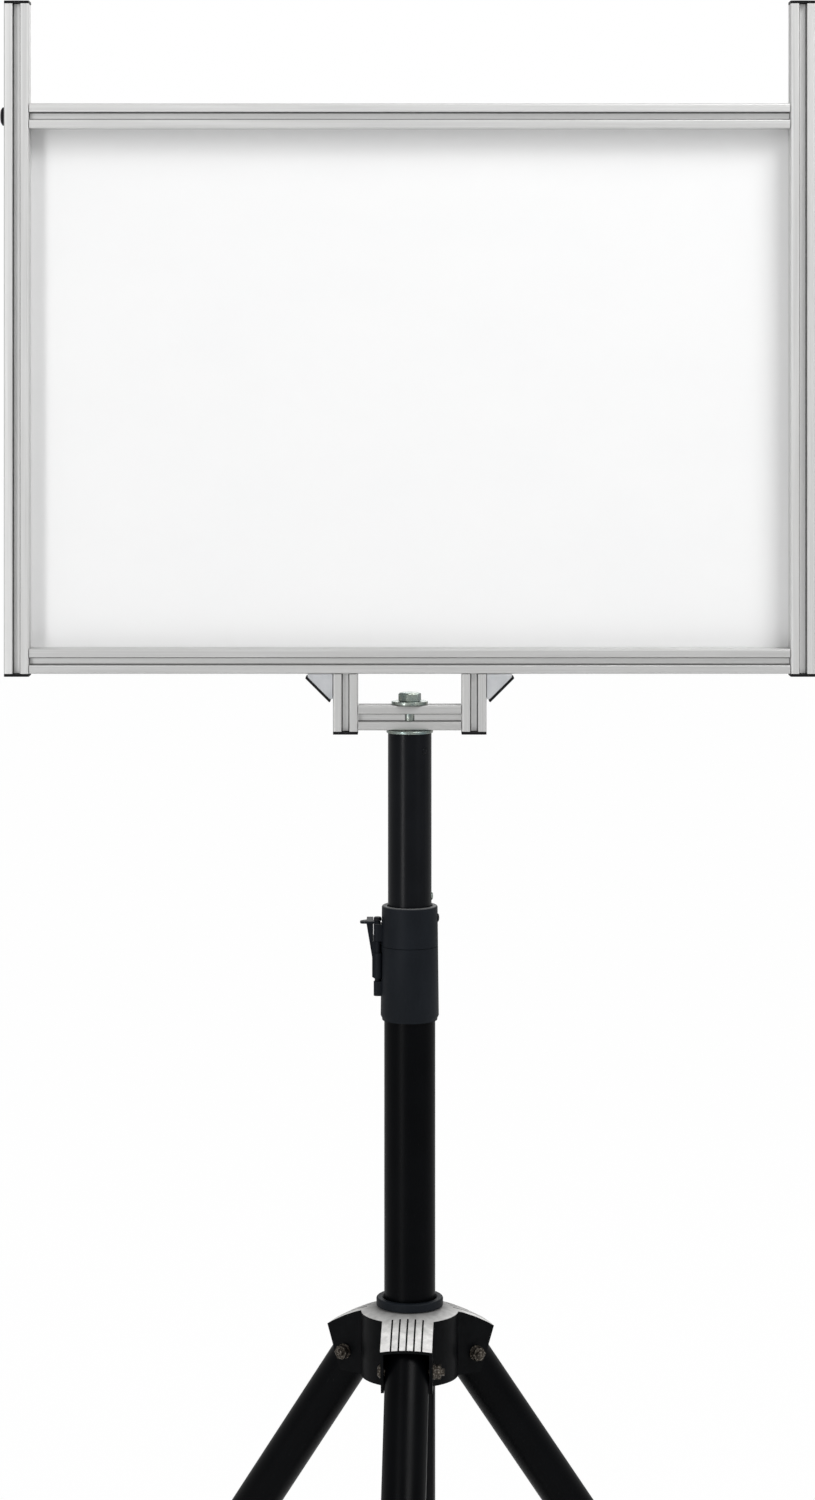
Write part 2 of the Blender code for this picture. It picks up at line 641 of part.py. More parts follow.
def add_clamp():
    """A two-piece moulded collar on the tube's upper end, split between its two hinge barrels."""
    bore = MAST_RADIUS + PIN_CLEARANCE
    lip = 0.8 * MM
    taper = (CLAMP_LOW_RADIUS - CLAMP_TOP_RADIUS) / CLAMP_HEIGHT
    joint_radius = CLAMP_TOP_RADIUS + taper * CLAMP_CAP_HEIGHT
    cap_bottom = CLAMP_JOINT + GAP
    cap = ring(
        [
            (CLAMP_TOP_RADIUS - lip, CLAMP_TOP),
            (CLAMP_TOP_RADIUS, CLAMP_TOP - lip),
            (joint_radius, cap_bottom),
            (bore, cap_bottom),
            (bore, CLAMP_TOP - lip),
            (bore + lip, CLAMP_TOP),
        ]
    )
    cap = part("clamp_cap", cap, "black_plastic", STAND)
    tube_bore = TUBE_RADIUS + GAP
    sleeve = ring(
        [
            (joint_radius, CLAMP_JOINT),
            (CLAMP_LOW_RADIUS, CLAMP_BOTTOM + CLAMP_CHAMFER),
            (CLAMP_LOW_RADIUS - 0.35 * CLAMP_CHAMFER, CLAMP_BOTTOM + 0.3 * CLAMP_CHAMFER),
            (tube_bore + 0.4 * CLAMP_CHAMFER, CLAMP_BOTTOM),
            (tube_bore, CLAMP_BOTTOM),
            (tube_bore, TUBE_TOP + GAP),
            (bore, TUBE_TOP + GAP),
            (bore, CLAMP_JOINT),
        ]
    )
    sleeve = part("clamp_sleeve", sleeve, "black_plastic", STAND)
    add_barrel(cap, UPPER_BARREL, (cap_bottom, CLAMP_TOP - UPPER_BARREL[0]))
    add_barrel(sleeve, LOWER_BARREL, (CLAMP_TOP - LOWER_BARREL[1], CLAMP_JOINT))
    half_width = SHOE_WIDTH / 2 + GAP
    shoe_low = shoe_middle() - SHOE_HEIGHT / 2
    window = box(
        (-CAM_OFFSET, -half_width, shoe_low - GAP),
        (-MAST_RADIUS + MM, half_width, shoe_low + SHOE_HEIGHT + GAP),
    )
    cut(sleeve, window)


def shoe_middle():
    return (TUBE_TOP + GAP + CLAMP_JOINT) / 2


def add_barrel(clamp, span, rib_span):
    """A hinge barrel on the collar's left side, bored for the lever's pin, with a rib behind the lever."""
    low = CLAMP_TOP - span[1]
    high = CLAMP_TOP - span[0]
    web = box((-CAM_OFFSET, -BARREL_RADIUS, low), (-CLAMP_TOP_RADIUS + MM, BARREL_RADIUS, high))
    join(clamp, web)
    join(clamp, rod(BARREL_RADIUS, low, high), (-CAM_OFFSET, 0, 0))
    rib = box(
        (-CAM_OFFSET + LEVER_RIB_SET, LEVER_RIB_BACK, rib_span[0]),
        (-CLAMP_TOP_RADIUS + 2 * MM, LEVER_RIB_BACK + LEVER_RIB, rib_span[1]),
    )
    join(clamp, rib)
    bore = rod(CAM_PIN_RADIUS + PIN_CLEARANCE, low - MM, high + MM, 16)
    cut(clamp, bore, (-CAM_OFFSET, 0, 0))


LEVER = axis("clamp_lever_axis", STAND, (-CAM_OFFSET, 0, 0))


def add_lever():
    """The cam lever: a finger plate over the upper barrel, a sloping wing and the cam that bears on the shoe."""
    plate_low = CLAMP_TOP - UPPER_BARREL[0] + GAP
    plate_high = plate_low + LEVER_PLATE
    wing_low = CLAMP_TOP - LOWER_BARREL[0] + 2 * MM
    inside = BARREL_RADIUS + SIDE_CLEARANCE
    under_barrel = CLAMP_TOP - UPPER_BARREL[1] - GAP
    section = [
        (-LEVER_TOP_OUT, plate_low),
        (-inside, plate_low),
        (-inside, under_barrel),
        (0, under_barrel - inside),
        (0, wing_low),
        (-LEVER_LOW_OUT, wing_low),
    ]
    wing = extruded([section], LEVER_WING)
    lever = part("clamp_lever", wing, "black_plastic", LEVER, (0, LEVER_WING / 2, 0), (pi / 2, 0, 0))
    middle = (0, 0, LEVER_WING / 2)
    upright = (-pi / 2, 0, 0)
    reach = LEVER_REACH - 5 * MM
    plate = extruded(
        [
            arc((0, 0), LEVER_EYE, -pi / 2, 0, 4)
            + [(LEVER_EYE, 5 * MM), (-reach, 8 * MM)]
            + arc((-reach, 1.5 * MM), 5 * MM, 3 * pi / 4, 5 * pi / 4, 4)
        ],
        LEVER_PLATE,
    )
    join(lever, plate, (0, (plate_low + plate_high) / 2 - MM / 100, LEVER_WING / 2), upright)
    cam_low = CLAMP_TOP - LOWER_BARREL[0] + GAP
    cam_high = CLAMP_TOP - UPPER_BARREL[1] - GAP
    join(lever, rod(LEVER_EYE, cam_low, cam_high), middle, upright)
    shoe_low = shoe_middle() - SHOE_HEIGHT / 2
    lobe = rod(CAM_RADIUS - CAM_THROW, shoe_low + MM, shoe_low + SHOE_HEIGHT - MM)
    join(lever, lobe, (CAM_THROW, 0, LEVER_WING / 2), upright)
    half = LEVER_EYE - 0.6 * MM
    web = box((-inside - 0.6 * MM, -half, cam_low + 3 * MM), (0, half, cam_high))
    join(lever, web, middle, upright)
    bore = rod(CAM_PIN_RADIUS + PIN_CLEARANCE, cam_low - MM, plate_high + MM, 16)
    cut(lever, bore, middle, upright)
    head = 3.2 * MM
    pin_end = CLAMP_TOP - LOWER_BARREL[1] + MM
    seat = plate_high + GAP
    pin = turned(
        [
            (0, seat + head),
            (0.8 * head, seat + head),
            (head, seat + 0.7 * head),
            (head, seat),
            (CAM_PIN_RADIUS, seat),
            (CAM_PIN_RADIUS, pin_end),
            (0, pin_end),
        ],
        16,
    )
    part("lever_pin", pin, "black_steel", LEVER)
    face = -MAST_RADIUS - GAP
    back = -CAM_OFFSET + CAM_RADIUS + GAP
    shoe = box((back, -SHOE_WIDTH / 2, -SHOE_HEIGHT / 2), (face + MM, SHOE_WIDTH / 2, SHOE_HEIGHT / 2))
    shoe = part("brake_shoe", shoe, "rubber", STAND, (0, 0, shoe_middle()))
    cut(shoe, rod(MAST_RADIUS + GAP, -SHOE_HEIGHT, SHOE_HEIGHT, 64))


def add_outer_tube():
    bore = TUBE_RADIUS - TUBE_WALL
    part("outer_tube", tube(TUBE_RADIUS, bore, TUBE_FLOOR_GAP, TUBE_TOP), "black_steel", STAND)
    flange_top = TUBE_FLOOR_GAP - GAP
    flange_low = flange_top - END_PLUG_THICKNESS
    plug = turned(
        [
            (0, TUBE_FLOOR_GAP + END_PLUG_DEPTH),
            (bore - GAP, TUBE_FLOOR_GAP + END_PLUG_DEPTH),
            (bore - GAP, flange_top),
            (END_PLUG_FLANGE, flange_top),
            (END_PLUG_FLANGE, flange_low + MM),
            (END_PLUG_FLANGE - MM, flange_low),
            (0, flange_low),
        ]
    )
    part("tube_end_plug", plug, "black_plastic", STAND)


def dome_height(r):
    """The hub's crowned top above the pivots, at a distance from the mast's axis."""
    return HUB_TOP - r**2 / (2 * HUB_DOME_RADIUS)


def arm_half_width():
    return LEG_RADIUS + SIDE_CLEARANCE + HUB_WALL


def hub_plan():
    """A round centre with three straight arms."""
    half = arm_half_width()
    junction = asin(half / HUB_DISC)
    points = []
    for angle in sorted(a % (2 * pi) for a in LEGS.values()):
        for x, y in ((HUB_REACH + 4 * MM, -half), (HUB_REACH + 4 * MM, half)):
            points.append((x * cos(angle) - y * sin(angle), x * sin(angle) + y * cos(angle)))
        points += arc((0, 0), HUB_DISC, angle + junction, angle + 2 * pi / 3 - junction, 8)
    return points


def dome(drop, reach, low, steps=48):
    """A turned body under the crowned top, lowered by drop."""
    count = 7
    radii = [reach * i / count for i in range(count + 1)]
    crown = [(r, dome_height(r) - drop) for r in radii]
    return turned([*crown, (reach, low), (0, low)], steps)


def hub_grooves():
    """The slabs that score the top of one arm, along its length."""
    shape = bmesh.new()
    for i in range(HUB_GROOVES):
        y = (i - (HUB_GROOVES - 1) / 2) * HUB_GROOVE_PITCH
        slab = bmesh.ops.create_cube(shape, size=1)["verts"]
        low = Vector((HUB_GROOVE_START, y - HUB_GROOVE / 2, 0))
        high = Vector((HUB_REACH + 20 * MM, y + HUB_GROOVE / 2, HUB_TOP))
        bmesh.ops.scale(shape, vec=high - low, verts=slab)
        bmesh.ops.translate(shape, vec=(high + low) / 2, verts=slab)
    return mesh_from(shape)


def add_hub():
    thickness = HUB_TOP + HUB_BOTTOM
    middle = (HUB_TOP - HUB_BOTTOM) / 2
    hub = part("hub", extruded([hub_plan()], thickness), "black_casting", STAND, (0, 0, PIVOT_Z + middle))
    down = (0, 0, -middle)
    low = -HUB_BOTTOM - 2 * MM
    combine(hub, "INTERSECT", dome(0, HUB_REACH + 8 * MM, low), down)
    shank_bore = TUBE_RADIUS + GAP + BUSH_WALL + GAP
    inner_reach = shank_bore + HUB_CORE_WALL
    ceiling = dome(HUB_ROOF, HUB_REACH + 20 * MM, low)
    end_top = dome_height(HUB_REACH)
    slant = atan2(HUB_REACH - HUB_LOW_REACH, end_top + HUB_BOTTOM)
    beyond = box((0, -HUB_DISC, -HUB_DISC * 2), (HUB_DISC, HUB_DISC, HUB_DISC * 2))
    half = LEG_RADIUS + SIDE_CLEARANCE
    pocket = box((inner_reach, -half, low - MM), (HUB_REACH + 10 * MM, half, HUB_TOP))
    pocket = shaped(pocket, "INTERSECT", ceiling)
    deck = dome(HUB_GROOVE, HUB_REACH + 20 * MM, low)
    grooves = shaped(hub_grooves(), "DIFFERENCE", deck)
    for angle in LEGS.values():
        cut(hub, pocket, down, (0, 0, angle))
        cut(hub, grooves, down, (0, 0, angle))
        hole = rod(LEG_BOLT_RADIUS + PIN_CLEARANCE, -HUB_DISC, HUB_DISC, 16, "Y")
        at = (PIVOT_REACH * cos(angle), PIVOT_REACH * sin(angle), -middle)
        cut(hub, hole, at, (0, 0, angle))
        end_at = (HUB_REACH * cos(angle), HUB_REACH * sin(angle), end_top - middle)
        cut(hub, beyond, end_at, (0, slant, angle))
    cut(hub, rod(shank_bore, -HUB_TOP * 2, HUB_TOP * 2, ROUND))
    seat = dome_height(shank_bore) + GAP
    bush = ring(
        [
            (BUSH_RADIUS - 0.8 * MM, seat + BUSH_HEIGHT),
            (BUSH_RADIUS, seat + BUSH_HEIGHT - 0.8 * MM),
            (BUSH_RADIUS, seat),
            (TUBE_RADIUS + GAP + BUSH_WALL, seat),
            (TUBE_RADIUS + GAP + BUSH_WALL, seat - BUSH_SPIGOT),
            (TUBE_RADIUS + GAP, seat - BUSH_SPIGOT),
            (TUBE_RADIUS + GAP, seat + BUSH_HEIGHT - 1.4 * MM),
            (TUBE_RADIUS + GAP + 1.4 * MM, seat + BUSH_HEIGHT),
        ]
    )
    part("hub_bush", bush, "black_plastic", STAND, (0, 0, PIVOT_Z))


def add_leg(name, angle):
    """One leg with its bolt and brace, in a frame whose X points outwards."""
    pivot_at = (PIVOT_REACH * cos(angle), PIVOT_REACH * sin(angle), PIVOT_Z)
    pivot = axis(f"leg_{name}_axis", STAND, pivot_at, (0, 0, angle))
    add_leg_bolt(name, pivot)
    tilt = axis(f"leg_{name}_tilt", pivot, (0, 0, 0), (0, -LEG_SPREAD, 0))
    end = -LEG_LENGTH + FOOT_TUBE_STOP
    tube_mesh = tube(LEG_RADIUS, LEG_RADIUS - LEG_WALL, end, LEG_ABOVE_PIVOT)
    leg = part(f"leg_tube_{name}", tube_mesh, "black_steel", tilt)
    cut(leg, rod(LEG_BOLT_RADIUS + PIN_CLEARANCE, -HUB_DISC, HUB_DISC, 16, "Y"))
    cut(leg, rod(BRACE_PIN + PIN_CLEARANCE, -HUB_DISC, HUB_DISC, 16, "Y"), (0, 0, -BRACE_LENGTH))
    brace_axis = axis(f"brace_{name}_axis", tilt, (0, 0, -BRACE_LENGTH), (0, 2 * LEG_SPREAD, 0))
    add_brace(name, brace_axis)
    foot_at = (LEG_LENGTH * sin(LEG_SPREAD), 0, -LEG_LENGTH * cos(LEG_SPREAD))
    foot = axis(f"caster_{name}_axis", pivot, foot_at)
    add_foot(name, foot)
    add_caster(name, foot)


def add_leg_bolt(name, pivot):
    side = NUT_SIDES[name]
    face = arm_half_width() + GAP
    washer = face + LEG_BOLT_WASHER_HEIGHT
    profile = [
        (0, face + LEG_BOLT_END),
        (LEG_BOLT_RADIUS - 0.6 * MM, face + LEG_BOLT_END),
        (LEG_BOLT_RADIUS, face + LEG_BOLT_END - 0.6 * MM),
        (LEG_BOLT_RADIUS, washer),
        (LEG_BOLT_WASHER, washer),
        (LEG_BOLT_WASHER, face),
        (LEG_BOLT_RADIUS, face),
        (LEG_BOLT_RADIUS, -face),
        (LEG_BOLT_HEAD, -face),
        (LEG_BOLT_HEAD, -face - 0.4 * LEG_BOLT_HEAD_HEIGHT),
        (0.7 * LEG_BOLT_HEAD, -face - LEG_BOLT_HEAD_HEIGHT),
        (0, -face - LEG_BOLT_HEAD_HEIGHT),
    ]
    bolt = part(f"leg_bolt_{name}", turned(profile, SMALL), "zinc", pivot, (0, 0, 0), (-side * pi / 2, 0, 0))
    nut = extruded([hexagon(LEG_BOLT_NUT_FLATS)], LEG_BOLT_NUT_HEIGHT)
    join(bolt, nut, (0, 0, washer + LEG_BOLT_NUT_HEIGHT / 2 - MM / 10))


def add_brace(name, frame):
    """Two flat bars, one on each side of the leg, riveted to a pin at each end."""
    outline = [(x, y - BRACE_LENGTH / 2) for x, y in stadium(BRACE_LENGTH, BRACE_WIDTH / 2)]
    bar = extruded([outline], BRACE_THICKNESS)
    inside = LEG_RADIUS + SIDE_CLEARANCE
    offset = inside + BRACE_THICKNESS / 2
    flat = (pi / 2, 0, 0)
    brace = part(f"brace_{name}", bar, "black_steel", frame, (0, offset, 0), flat)
    join(brace, bar, (0, 0, 2 * offset))
    outer = inside + BRACE_THICKNESS + BRACE_RIVET_HEIGHT
    overlap = BRACE_THICKNESS / 2
    pin = turned(
        [
            (0, outer),
            (0.7 * BRACE_RIVET, outer),
            (BRACE_RIVET, outer - 0.6 * BRACE_RIVET_HEIGHT),
            (BRACE_RIVET, outer - BRACE_RIVET_HEIGHT - overlap),
            (BRACE_PIN, outer - BRACE_RIVET_HEIGHT - overlap),
            (BRACE_PIN, -outer + BRACE_RIVET_HEIGHT + overlap),
            (BRACE_RIVET, -outer + BRACE_RIVET_HEIGHT + overlap),
            (BRACE_RIVET, -outer + 0.6 * BRACE_RIVET_HEIGHT),
            (0.7 * BRACE_RIVET, -outer),
            (0, -outer),
        ],
        SMALL,
    )
    for end in (0, -BRACE_LENGTH):
        join(brace, pin, (0, end, offset))


def add_slider():
    """The collar that the braces draw along the tube, with a slotted pair of ears for each pin."""
    outer = TUBE_RADIUS + GAP + SLIDER_WALL
    half = SLIDER_HEIGHT / 2
    mesh = tube(outer, TUBE_RADIUS + GAP, -half, half)
    slider = part("brace_slider", mesh, "black_plastic", STAND, (0, 0, SLIDER_Z))
    ear_out = LEG_RADIUS + SIDE_CLEARANCE - GAP - 0.5 * MM
    ear_in = ear_out - SLIDER_EAR
    start = sqrt(outer**2 - ear_out**2) - 2 * MM
    end = PIVOT_REACH + SLIDER_EAR_MARGIN
    slot = extruded([stadium(2 * SLIDER_SLOT_TRAVEL, BRACE_PIN + PIN_CLEARANCE)], 2 * HUB_DISC)
    for angle in LEGS.values():
        for side in (-1, 1):
            y = sorted((side * ear_in, side * ear_out))
            ear = box((start, y[0], -half), (end, y[1], half))
            join(slider, ear, (0, 0, 0), (0, 0, angle))
        at = (PIVOT_REACH * cos(angle), PIVOT_REACH * sin(angle), 0)
        cut(slider, slot, at, (pi / 2, 0, angle))


def add_foot(name, foot):
    """A moulded knuckle: a sleeve over the leg's end and an upright boss for the caster's stem."""
    outer = LEG_RADIUS + GAP + FOOT_WALL
    knuckle = part(f"foot_{name}", ball(outer), "black_plastic", foot)
    tilt = (0, -LEG_SPREAD, 0)
    join(knuckle, rod(outer, 0, FOOT_SLEEVE, ROUND), (0, 0, 0), tilt)
    join(knuckle, rod(FOOT_BOSS_RADIUS, -FOOT_KNUCKLE_RISE, 0, 24))
    cut(knuckle, rod(LEG_RADIUS + GAP, FOOT_TUBE_STOP - GAP, FOOT_SLEEVE + MM, ROUND), (0, 0, 0), tilt)
    depth = -FOOT_KNUCKLE_RISE + STEM_LENGTH + MM
    cut(knuckle, rod(STEM_RADIUS + PIN_CLEARANCE, -FOOT_KNUCKLE_RISE - MM, depth))


def fork_cheek():
    """The outline of one cheek, X outwards and Y up, about the axle."""
    top = WHEEL_RADIUS + FORK_OVER_WHEEL + FORK_PLATE / 2
    eye = 8 * MM
    brake = 5.5 * MM
    points = arc((0, 0), eye, pi, 2 * pi, 8)
    points += arc((BRAKE_PIVOT_OUT, BRAKE_PIVOT_UP), brake, -pi / 4, pi / 2, 5)
    points += [(0, top), (-CASTER_TRAIL - 8 * MM, top), (-CASTER_TRAIL - 8 * MM, top - 5 * MM)]
    return points


def add_caster(name, foot):
    """A swivelling fork with its wheel and a cam brake under a foot pedal."""
    frame = axis(f"caster_{name}_floor", foot, (0, 0, -KNUCKLE_Z))
    plate_low = FORK_TOP - FORK_PLATE
    plate = turned(
        [
            (0, FORK_TOP + STEM_LENGTH),
            (STEM_RADIUS, FORK_TOP + STEM_LENGTH),
            (STEM_RADIUS, FORK_TOP),
            (FORK_PLATE_RADIUS, FORK_TOP),
            (FORK_PLATE_RADIUS, plate_low),
            (0, plate_low),
        ]
    )
    fork = part(f"caster_fork_{name}", plate, "black_plastic", frame)
    inside = WHEEL_WIDTH / 2 + SIDE_CLEARANCE
    middle = inside + FORK_CHEEK / 2
    outline = fork_cheek()
    for side in (-1, 1):
        at = (CASTER_TRAIL, side * middle, WHEEL_RADIUS)
        join(fork, extruded([outline], FORK_CHEEK), at, (pi / 2, 0, 0))
        rivet = sorted((side * middle, side * (inside + FORK_CHEEK + 1.2 * MM)))
        join(fork, rod(5 * MM, rivet[0], rivet[1], SMALL, "Y"), (CASTER_TRAIL, 0, WHEEL_RADIUS))
    join(fork, rod(AXLE_RADIUS, -middle, middle, SMALL, "Y"), (CASTER_TRAIL, 0, WHEEL_RADIUS))
    pedal_at = (CASTER_TRAIL + BRAKE_PIVOT_OUT, 0, WHEEL_RADIUS + BRAKE_PIVOT_UP)
    cut(fork, rod(2 * MM + PIN_CLEARANCE, -HUB_DISC, HUB_DISC, 16, "Y"), pedal_at)
    wheel_at = (CASTER_TRAIL, 0, WHEEL_RADIUS)
    wheel = part(f"caster_wheel_{name}", wheel_mesh(), "rubber", frame, wheel_at, (pi / 2, 0, 0))
    add_brake(name, axis(f"caster_brake_{name}_axis", frame, pedal_at))



def wheel_mesh():
    half = WHEEL_WIDTH / 2
    bore = AXLE_RADIUS + PIN_CLEARANCE
    return ring(
        [
            (WHEEL_RADIUS - 3 * MM, half),
            (WHEEL_RADIUS - 0.8 * MM, half - 2.4 * MM),
            (WHEEL_RADIUS, half - 5 * MM),
            (WHEEL_RADIUS, -half + 5 * MM),
            (WHEEL_RADIUS - 0.8 * MM, -half + 2.4 * MM),
            (WHEEL_RADIUS - 3 * MM, -half),
            (WHEEL_RIM, -half),
            (WHEEL_RIM - 2 * MM, -half + WHEEL_RECESS),
            (WHEEL_HUB + MM, -half + WHEEL_RECESS),
            (WHEEL_HUB, -half),
            (bore, -half),
            (bore, half),
            (WHEEL_HUB, half),
            (WHEEL_HUB + MM, half - WHEEL_RECESS),
            (WHEEL_RIM - 2 * MM, half - WHEEL_RECESS),
            (WHEEL_RIM, half),
        ]
    )


def add_brake(name, pivot):
    """The pedal turns a cam whose lobe comes down on the tread."""
    half = WHEEL_WIDTH / 2 - GAP
    cheek = WHEEL_WIDTH / 2 + SIDE_CLEARANCE + FORK_CHEEK
    pedal = part(f"caster_brake_{name}", rod(BRAKE_CAM, -half, half, SMALL, "Y"), "black_plastic", pivot)
    join(pedal, rod(2 * MM, -cheek, cheek, 16, "Y"))
    to_wheel = atan2(-BRAKE_PIVOT_UP, -BRAKE_PIVOT_OUT)
    lobe = to_wheel + BRAKE_THROW
    reach = hypot(BRAKE_PIVOT_OUT, BRAKE_PIVOT_UP) - WHEEL_RADIUS - BRAKE_LOBE - GAP
    at = (reach * cos(lobe), 0, reach * sin(lobe))
    join(pedal, rod(BRAKE_LOBE, -half, half, 12, "Y"), at)
    thick = BRAKE_PEDAL_THICKNESS / 2
    tread = box((0, -half, -thick), (BRAKE_PEDAL_LENGTH, half, thick))
    join(pedal, tread, (0, 0, BRAKE_CAM - thick), (0, -BRAKE_PEDAL_RISE, 0))


add_uprights()
add_rails()
add_panel()
add_bridge()
add_head()
add_mast()
add_clamp()
add_lever()
add_outer_tube()
add_hub()
for leg_name, leg_angle in LEGS.items():
    add_leg(leg_name, leg_angle)
add_slider()
print(f"leg spread {degrees(LEG_SPREAD):.1f} deg, pivots at {PIVOT_Z:.4f} m, top at {FRAME_TOP:.4f} m")
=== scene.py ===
# %% [markdown]
# # A rolling whiteboard stand
#
# A light frame of slotted aluminium carries a white writing panel. It stands on a black telescopic mast with
# a clamp, and on a folding tripod whose legs end in braked casters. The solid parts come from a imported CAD
# model. This notebook gives each of them its finish, swaps the ones that need softer edges for finer copies,
# and adds the small details that only show close up.

import json
from math import cos
from math import pi
from math import radians
from math import sin

import bmesh
import bpy
from mathutils import Matrix
from mathutils import Vector

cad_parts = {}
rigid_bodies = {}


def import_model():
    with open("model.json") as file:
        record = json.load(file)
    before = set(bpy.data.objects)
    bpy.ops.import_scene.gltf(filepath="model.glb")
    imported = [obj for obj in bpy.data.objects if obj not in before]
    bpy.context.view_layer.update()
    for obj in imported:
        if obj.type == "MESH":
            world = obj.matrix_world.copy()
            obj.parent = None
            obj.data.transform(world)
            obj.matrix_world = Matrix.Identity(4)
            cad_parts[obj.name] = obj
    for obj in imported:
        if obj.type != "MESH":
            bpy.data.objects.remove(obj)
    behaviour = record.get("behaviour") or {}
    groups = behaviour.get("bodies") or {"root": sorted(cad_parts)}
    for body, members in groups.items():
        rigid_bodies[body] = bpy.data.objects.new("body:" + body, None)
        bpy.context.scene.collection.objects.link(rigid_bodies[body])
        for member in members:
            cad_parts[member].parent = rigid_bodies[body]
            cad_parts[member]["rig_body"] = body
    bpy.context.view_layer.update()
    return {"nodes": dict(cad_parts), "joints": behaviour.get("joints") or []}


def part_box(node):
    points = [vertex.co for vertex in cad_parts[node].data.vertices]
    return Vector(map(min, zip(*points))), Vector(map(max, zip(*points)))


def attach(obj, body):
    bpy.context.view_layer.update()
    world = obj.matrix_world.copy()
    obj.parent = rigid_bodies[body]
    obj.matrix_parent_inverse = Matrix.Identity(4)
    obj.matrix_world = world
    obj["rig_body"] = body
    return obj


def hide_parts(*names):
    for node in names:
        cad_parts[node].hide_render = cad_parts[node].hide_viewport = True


MM = 0.001
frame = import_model()
joints = {joint["name"]: joint for joint in frame["joints"]}

# %% [markdown]
# ## Places to measure from
#
# Every later cell needs to know where the solids are. Their boxes give sizes, and the joints' points give the
# axes, so no place has to be typed in twice. The mast's axis is the middle of the mast tube.

# %% Read the main places
def middle(node):
    low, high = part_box(node)
    return (low + high) / 2


def reach(node):
    low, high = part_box(node)
    return high - low


MAST = middle("mast_tube")
MAST_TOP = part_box("mast_tube")[1].z
MAST_R = reach("mast_tube").x / 2
PROFILE = reach("upright_left").x
print(f"mast at x {MAST.x:.4f}, y {MAST.y:.4f}, top {MAST_TOP:.4f}, profile {PROFILE / MM:.1f} mm")

# %% [markdown]
# ## The camera
#
# The stand is seen square on from a few metres away. The camera is level, so the uprights stay parallel, and
# its height is a little above the middle of the board. A vertical shift brings the tripod into view.

# %% Place the camera
CAMERA_DISTANCE = 2.85
PICTURE_HEIGHT = 1.2048  # of the picture at the mast, in metres
SHIFT = -0.265
EYE_DROP = 279.5 * MM  # below the top of the frame
EYE_LEFT = 1.8 * MM  # of the mast's axis
SENSOR = 36  # mm

camera_data = bpy.data.cameras.new("camera")
camera_data.sensor_width = SENSOR
camera_data.lens = SENSOR * CAMERA_DISTANCE / PICTURE_HEIGHT
camera_data.shift_y = SHIFT
camera = bpy.data.objects.new("camera", camera_data)
bpy.context.scene.collection.objects.link(camera)
frame_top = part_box("upright_left")[1].z
camera.location = (MAST.x - EYE_LEFT, MAST.y - CAMERA_DISTANCE, frame_top - EYE_DROP)
camera.rotation_euler = (pi / 2, 0, 0)
bpy.context.scene.camera = camera
print(f"lens {camera_data.lens:.1f} mm, {camera.location.z:.3f} m above the floor")

# %% [markdown]
# ## Small helpers for materials
#
# A finish is a Principled shader with a few nodes in front of it. These helpers keep its cell short. One
# makes a node and links its inputs, one makes a noise in object space that can be stretched along any axis,
# and the rest map, mix and raise such patterns. Object coordinates are in metres, so a noise scale of 1000
# gives grains of about a millimetre.

# %% Define the material helpers
def node(tree, kind, inputs=None, **settings):
    """A shader node whose inputs are linked to sockets or set to values."""
    made = tree.nodes.new("ShaderNode" + kind)
    for key, value in settings.items():
        setattr(made, key, value)
    for key, value in (inputs or {}).items():
        if isinstance(value, bpy.types.NodeSocket):
            tree.links.new(value, made.inputs[key])
        else:
            made.inputs[key].default_value = value
    return made


def new_finish(name, **sockets):
    """A material, its tree and its Principled shader with some sockets set."""
    material = bpy.data.materials.new(name)
    material.use_nodes = True
    shader = material.node_tree.nodes["Principled BSDF"]
    for key, value in sockets.items():
        shader.inputs[key.replace("_", " ")].default_value = value
    return material, material.node_tree, shader


def grain(tree, scale, stretch=(1, 1, 1), detail=3, roughness=0.5):
    """A noise in object space. A small stretch on an axis draws it out along that axis."""
    place = node(tree, "TexCoord").outputs["Object"]
    mapped = node(tree, "Mapping", {"Vector": place, "Scale": stretch}).outputs["Vector"]
    inputs = {"Vector": mapped, "Scale": scale, "Detail": detail, "Roughness": roughness}
    return node(tree, "TexNoise", inputs).outputs["Fac"]


def spread(tree, value, low, high, start=0.3, end=0.7):
    """Maps a pattern's middle range onto low..high."""
    inputs = {"Value": value, "From Min": start, "From Max": end, "To Min": low, "To Max": high}
    return node(tree, "MapRange", inputs).outputs["Result"]


MIX_FACTOR = 0  # the colour mix's sockets, which share their names with its other modes
MIX_COLOURS = (6, 7)
MIX_RESULT = 2


def blend_colours(tree, factor, first, second):
    """Mixes two colours, each a colour or a socket, by a number or a socket."""
    mix = node(tree, "Mix", data_type="RGBA")
    for index, value in zip(MIX_COLOURS, (first, second)):
        if isinstance(value, bpy.types.NodeSocket):
            tree.links.new(value, mix.inputs[index])
        else:
            mix.inputs[index].default_value = (*value, 1)
    if isinstance(factor, bpy.types.NodeSocket):
        tree.links.new(factor, mix.inputs[MIX_FACTOR])
    else:
        mix.inputs[MIX_FACTOR].default_value = factor
    return mix.outputs[MIX_RESULT]


def relief(tree, shader, height, depth):
    """Raises a pattern by a depth in metres, as shading only."""
    bump = node(tree, "Bump", {"Height": height, "Distance": depth, "Strength": 1.0})
    tree.links.new(bump.outputs["Normal"], shader.inputs["Normal"])


def facing_up(tree, start=0.3, end=0.9):
    """0 on walls and undersides, 1 on surfaces that face the sky."""
    normal = node(tree, "NewGeometry").outputs["Normal"]
    height = node(tree, "SeparateXYZ", {"Vector": normal}).outputs["Z"]
    return spread(tree, height, 0, 1, start, end)


print("material helpers ready")

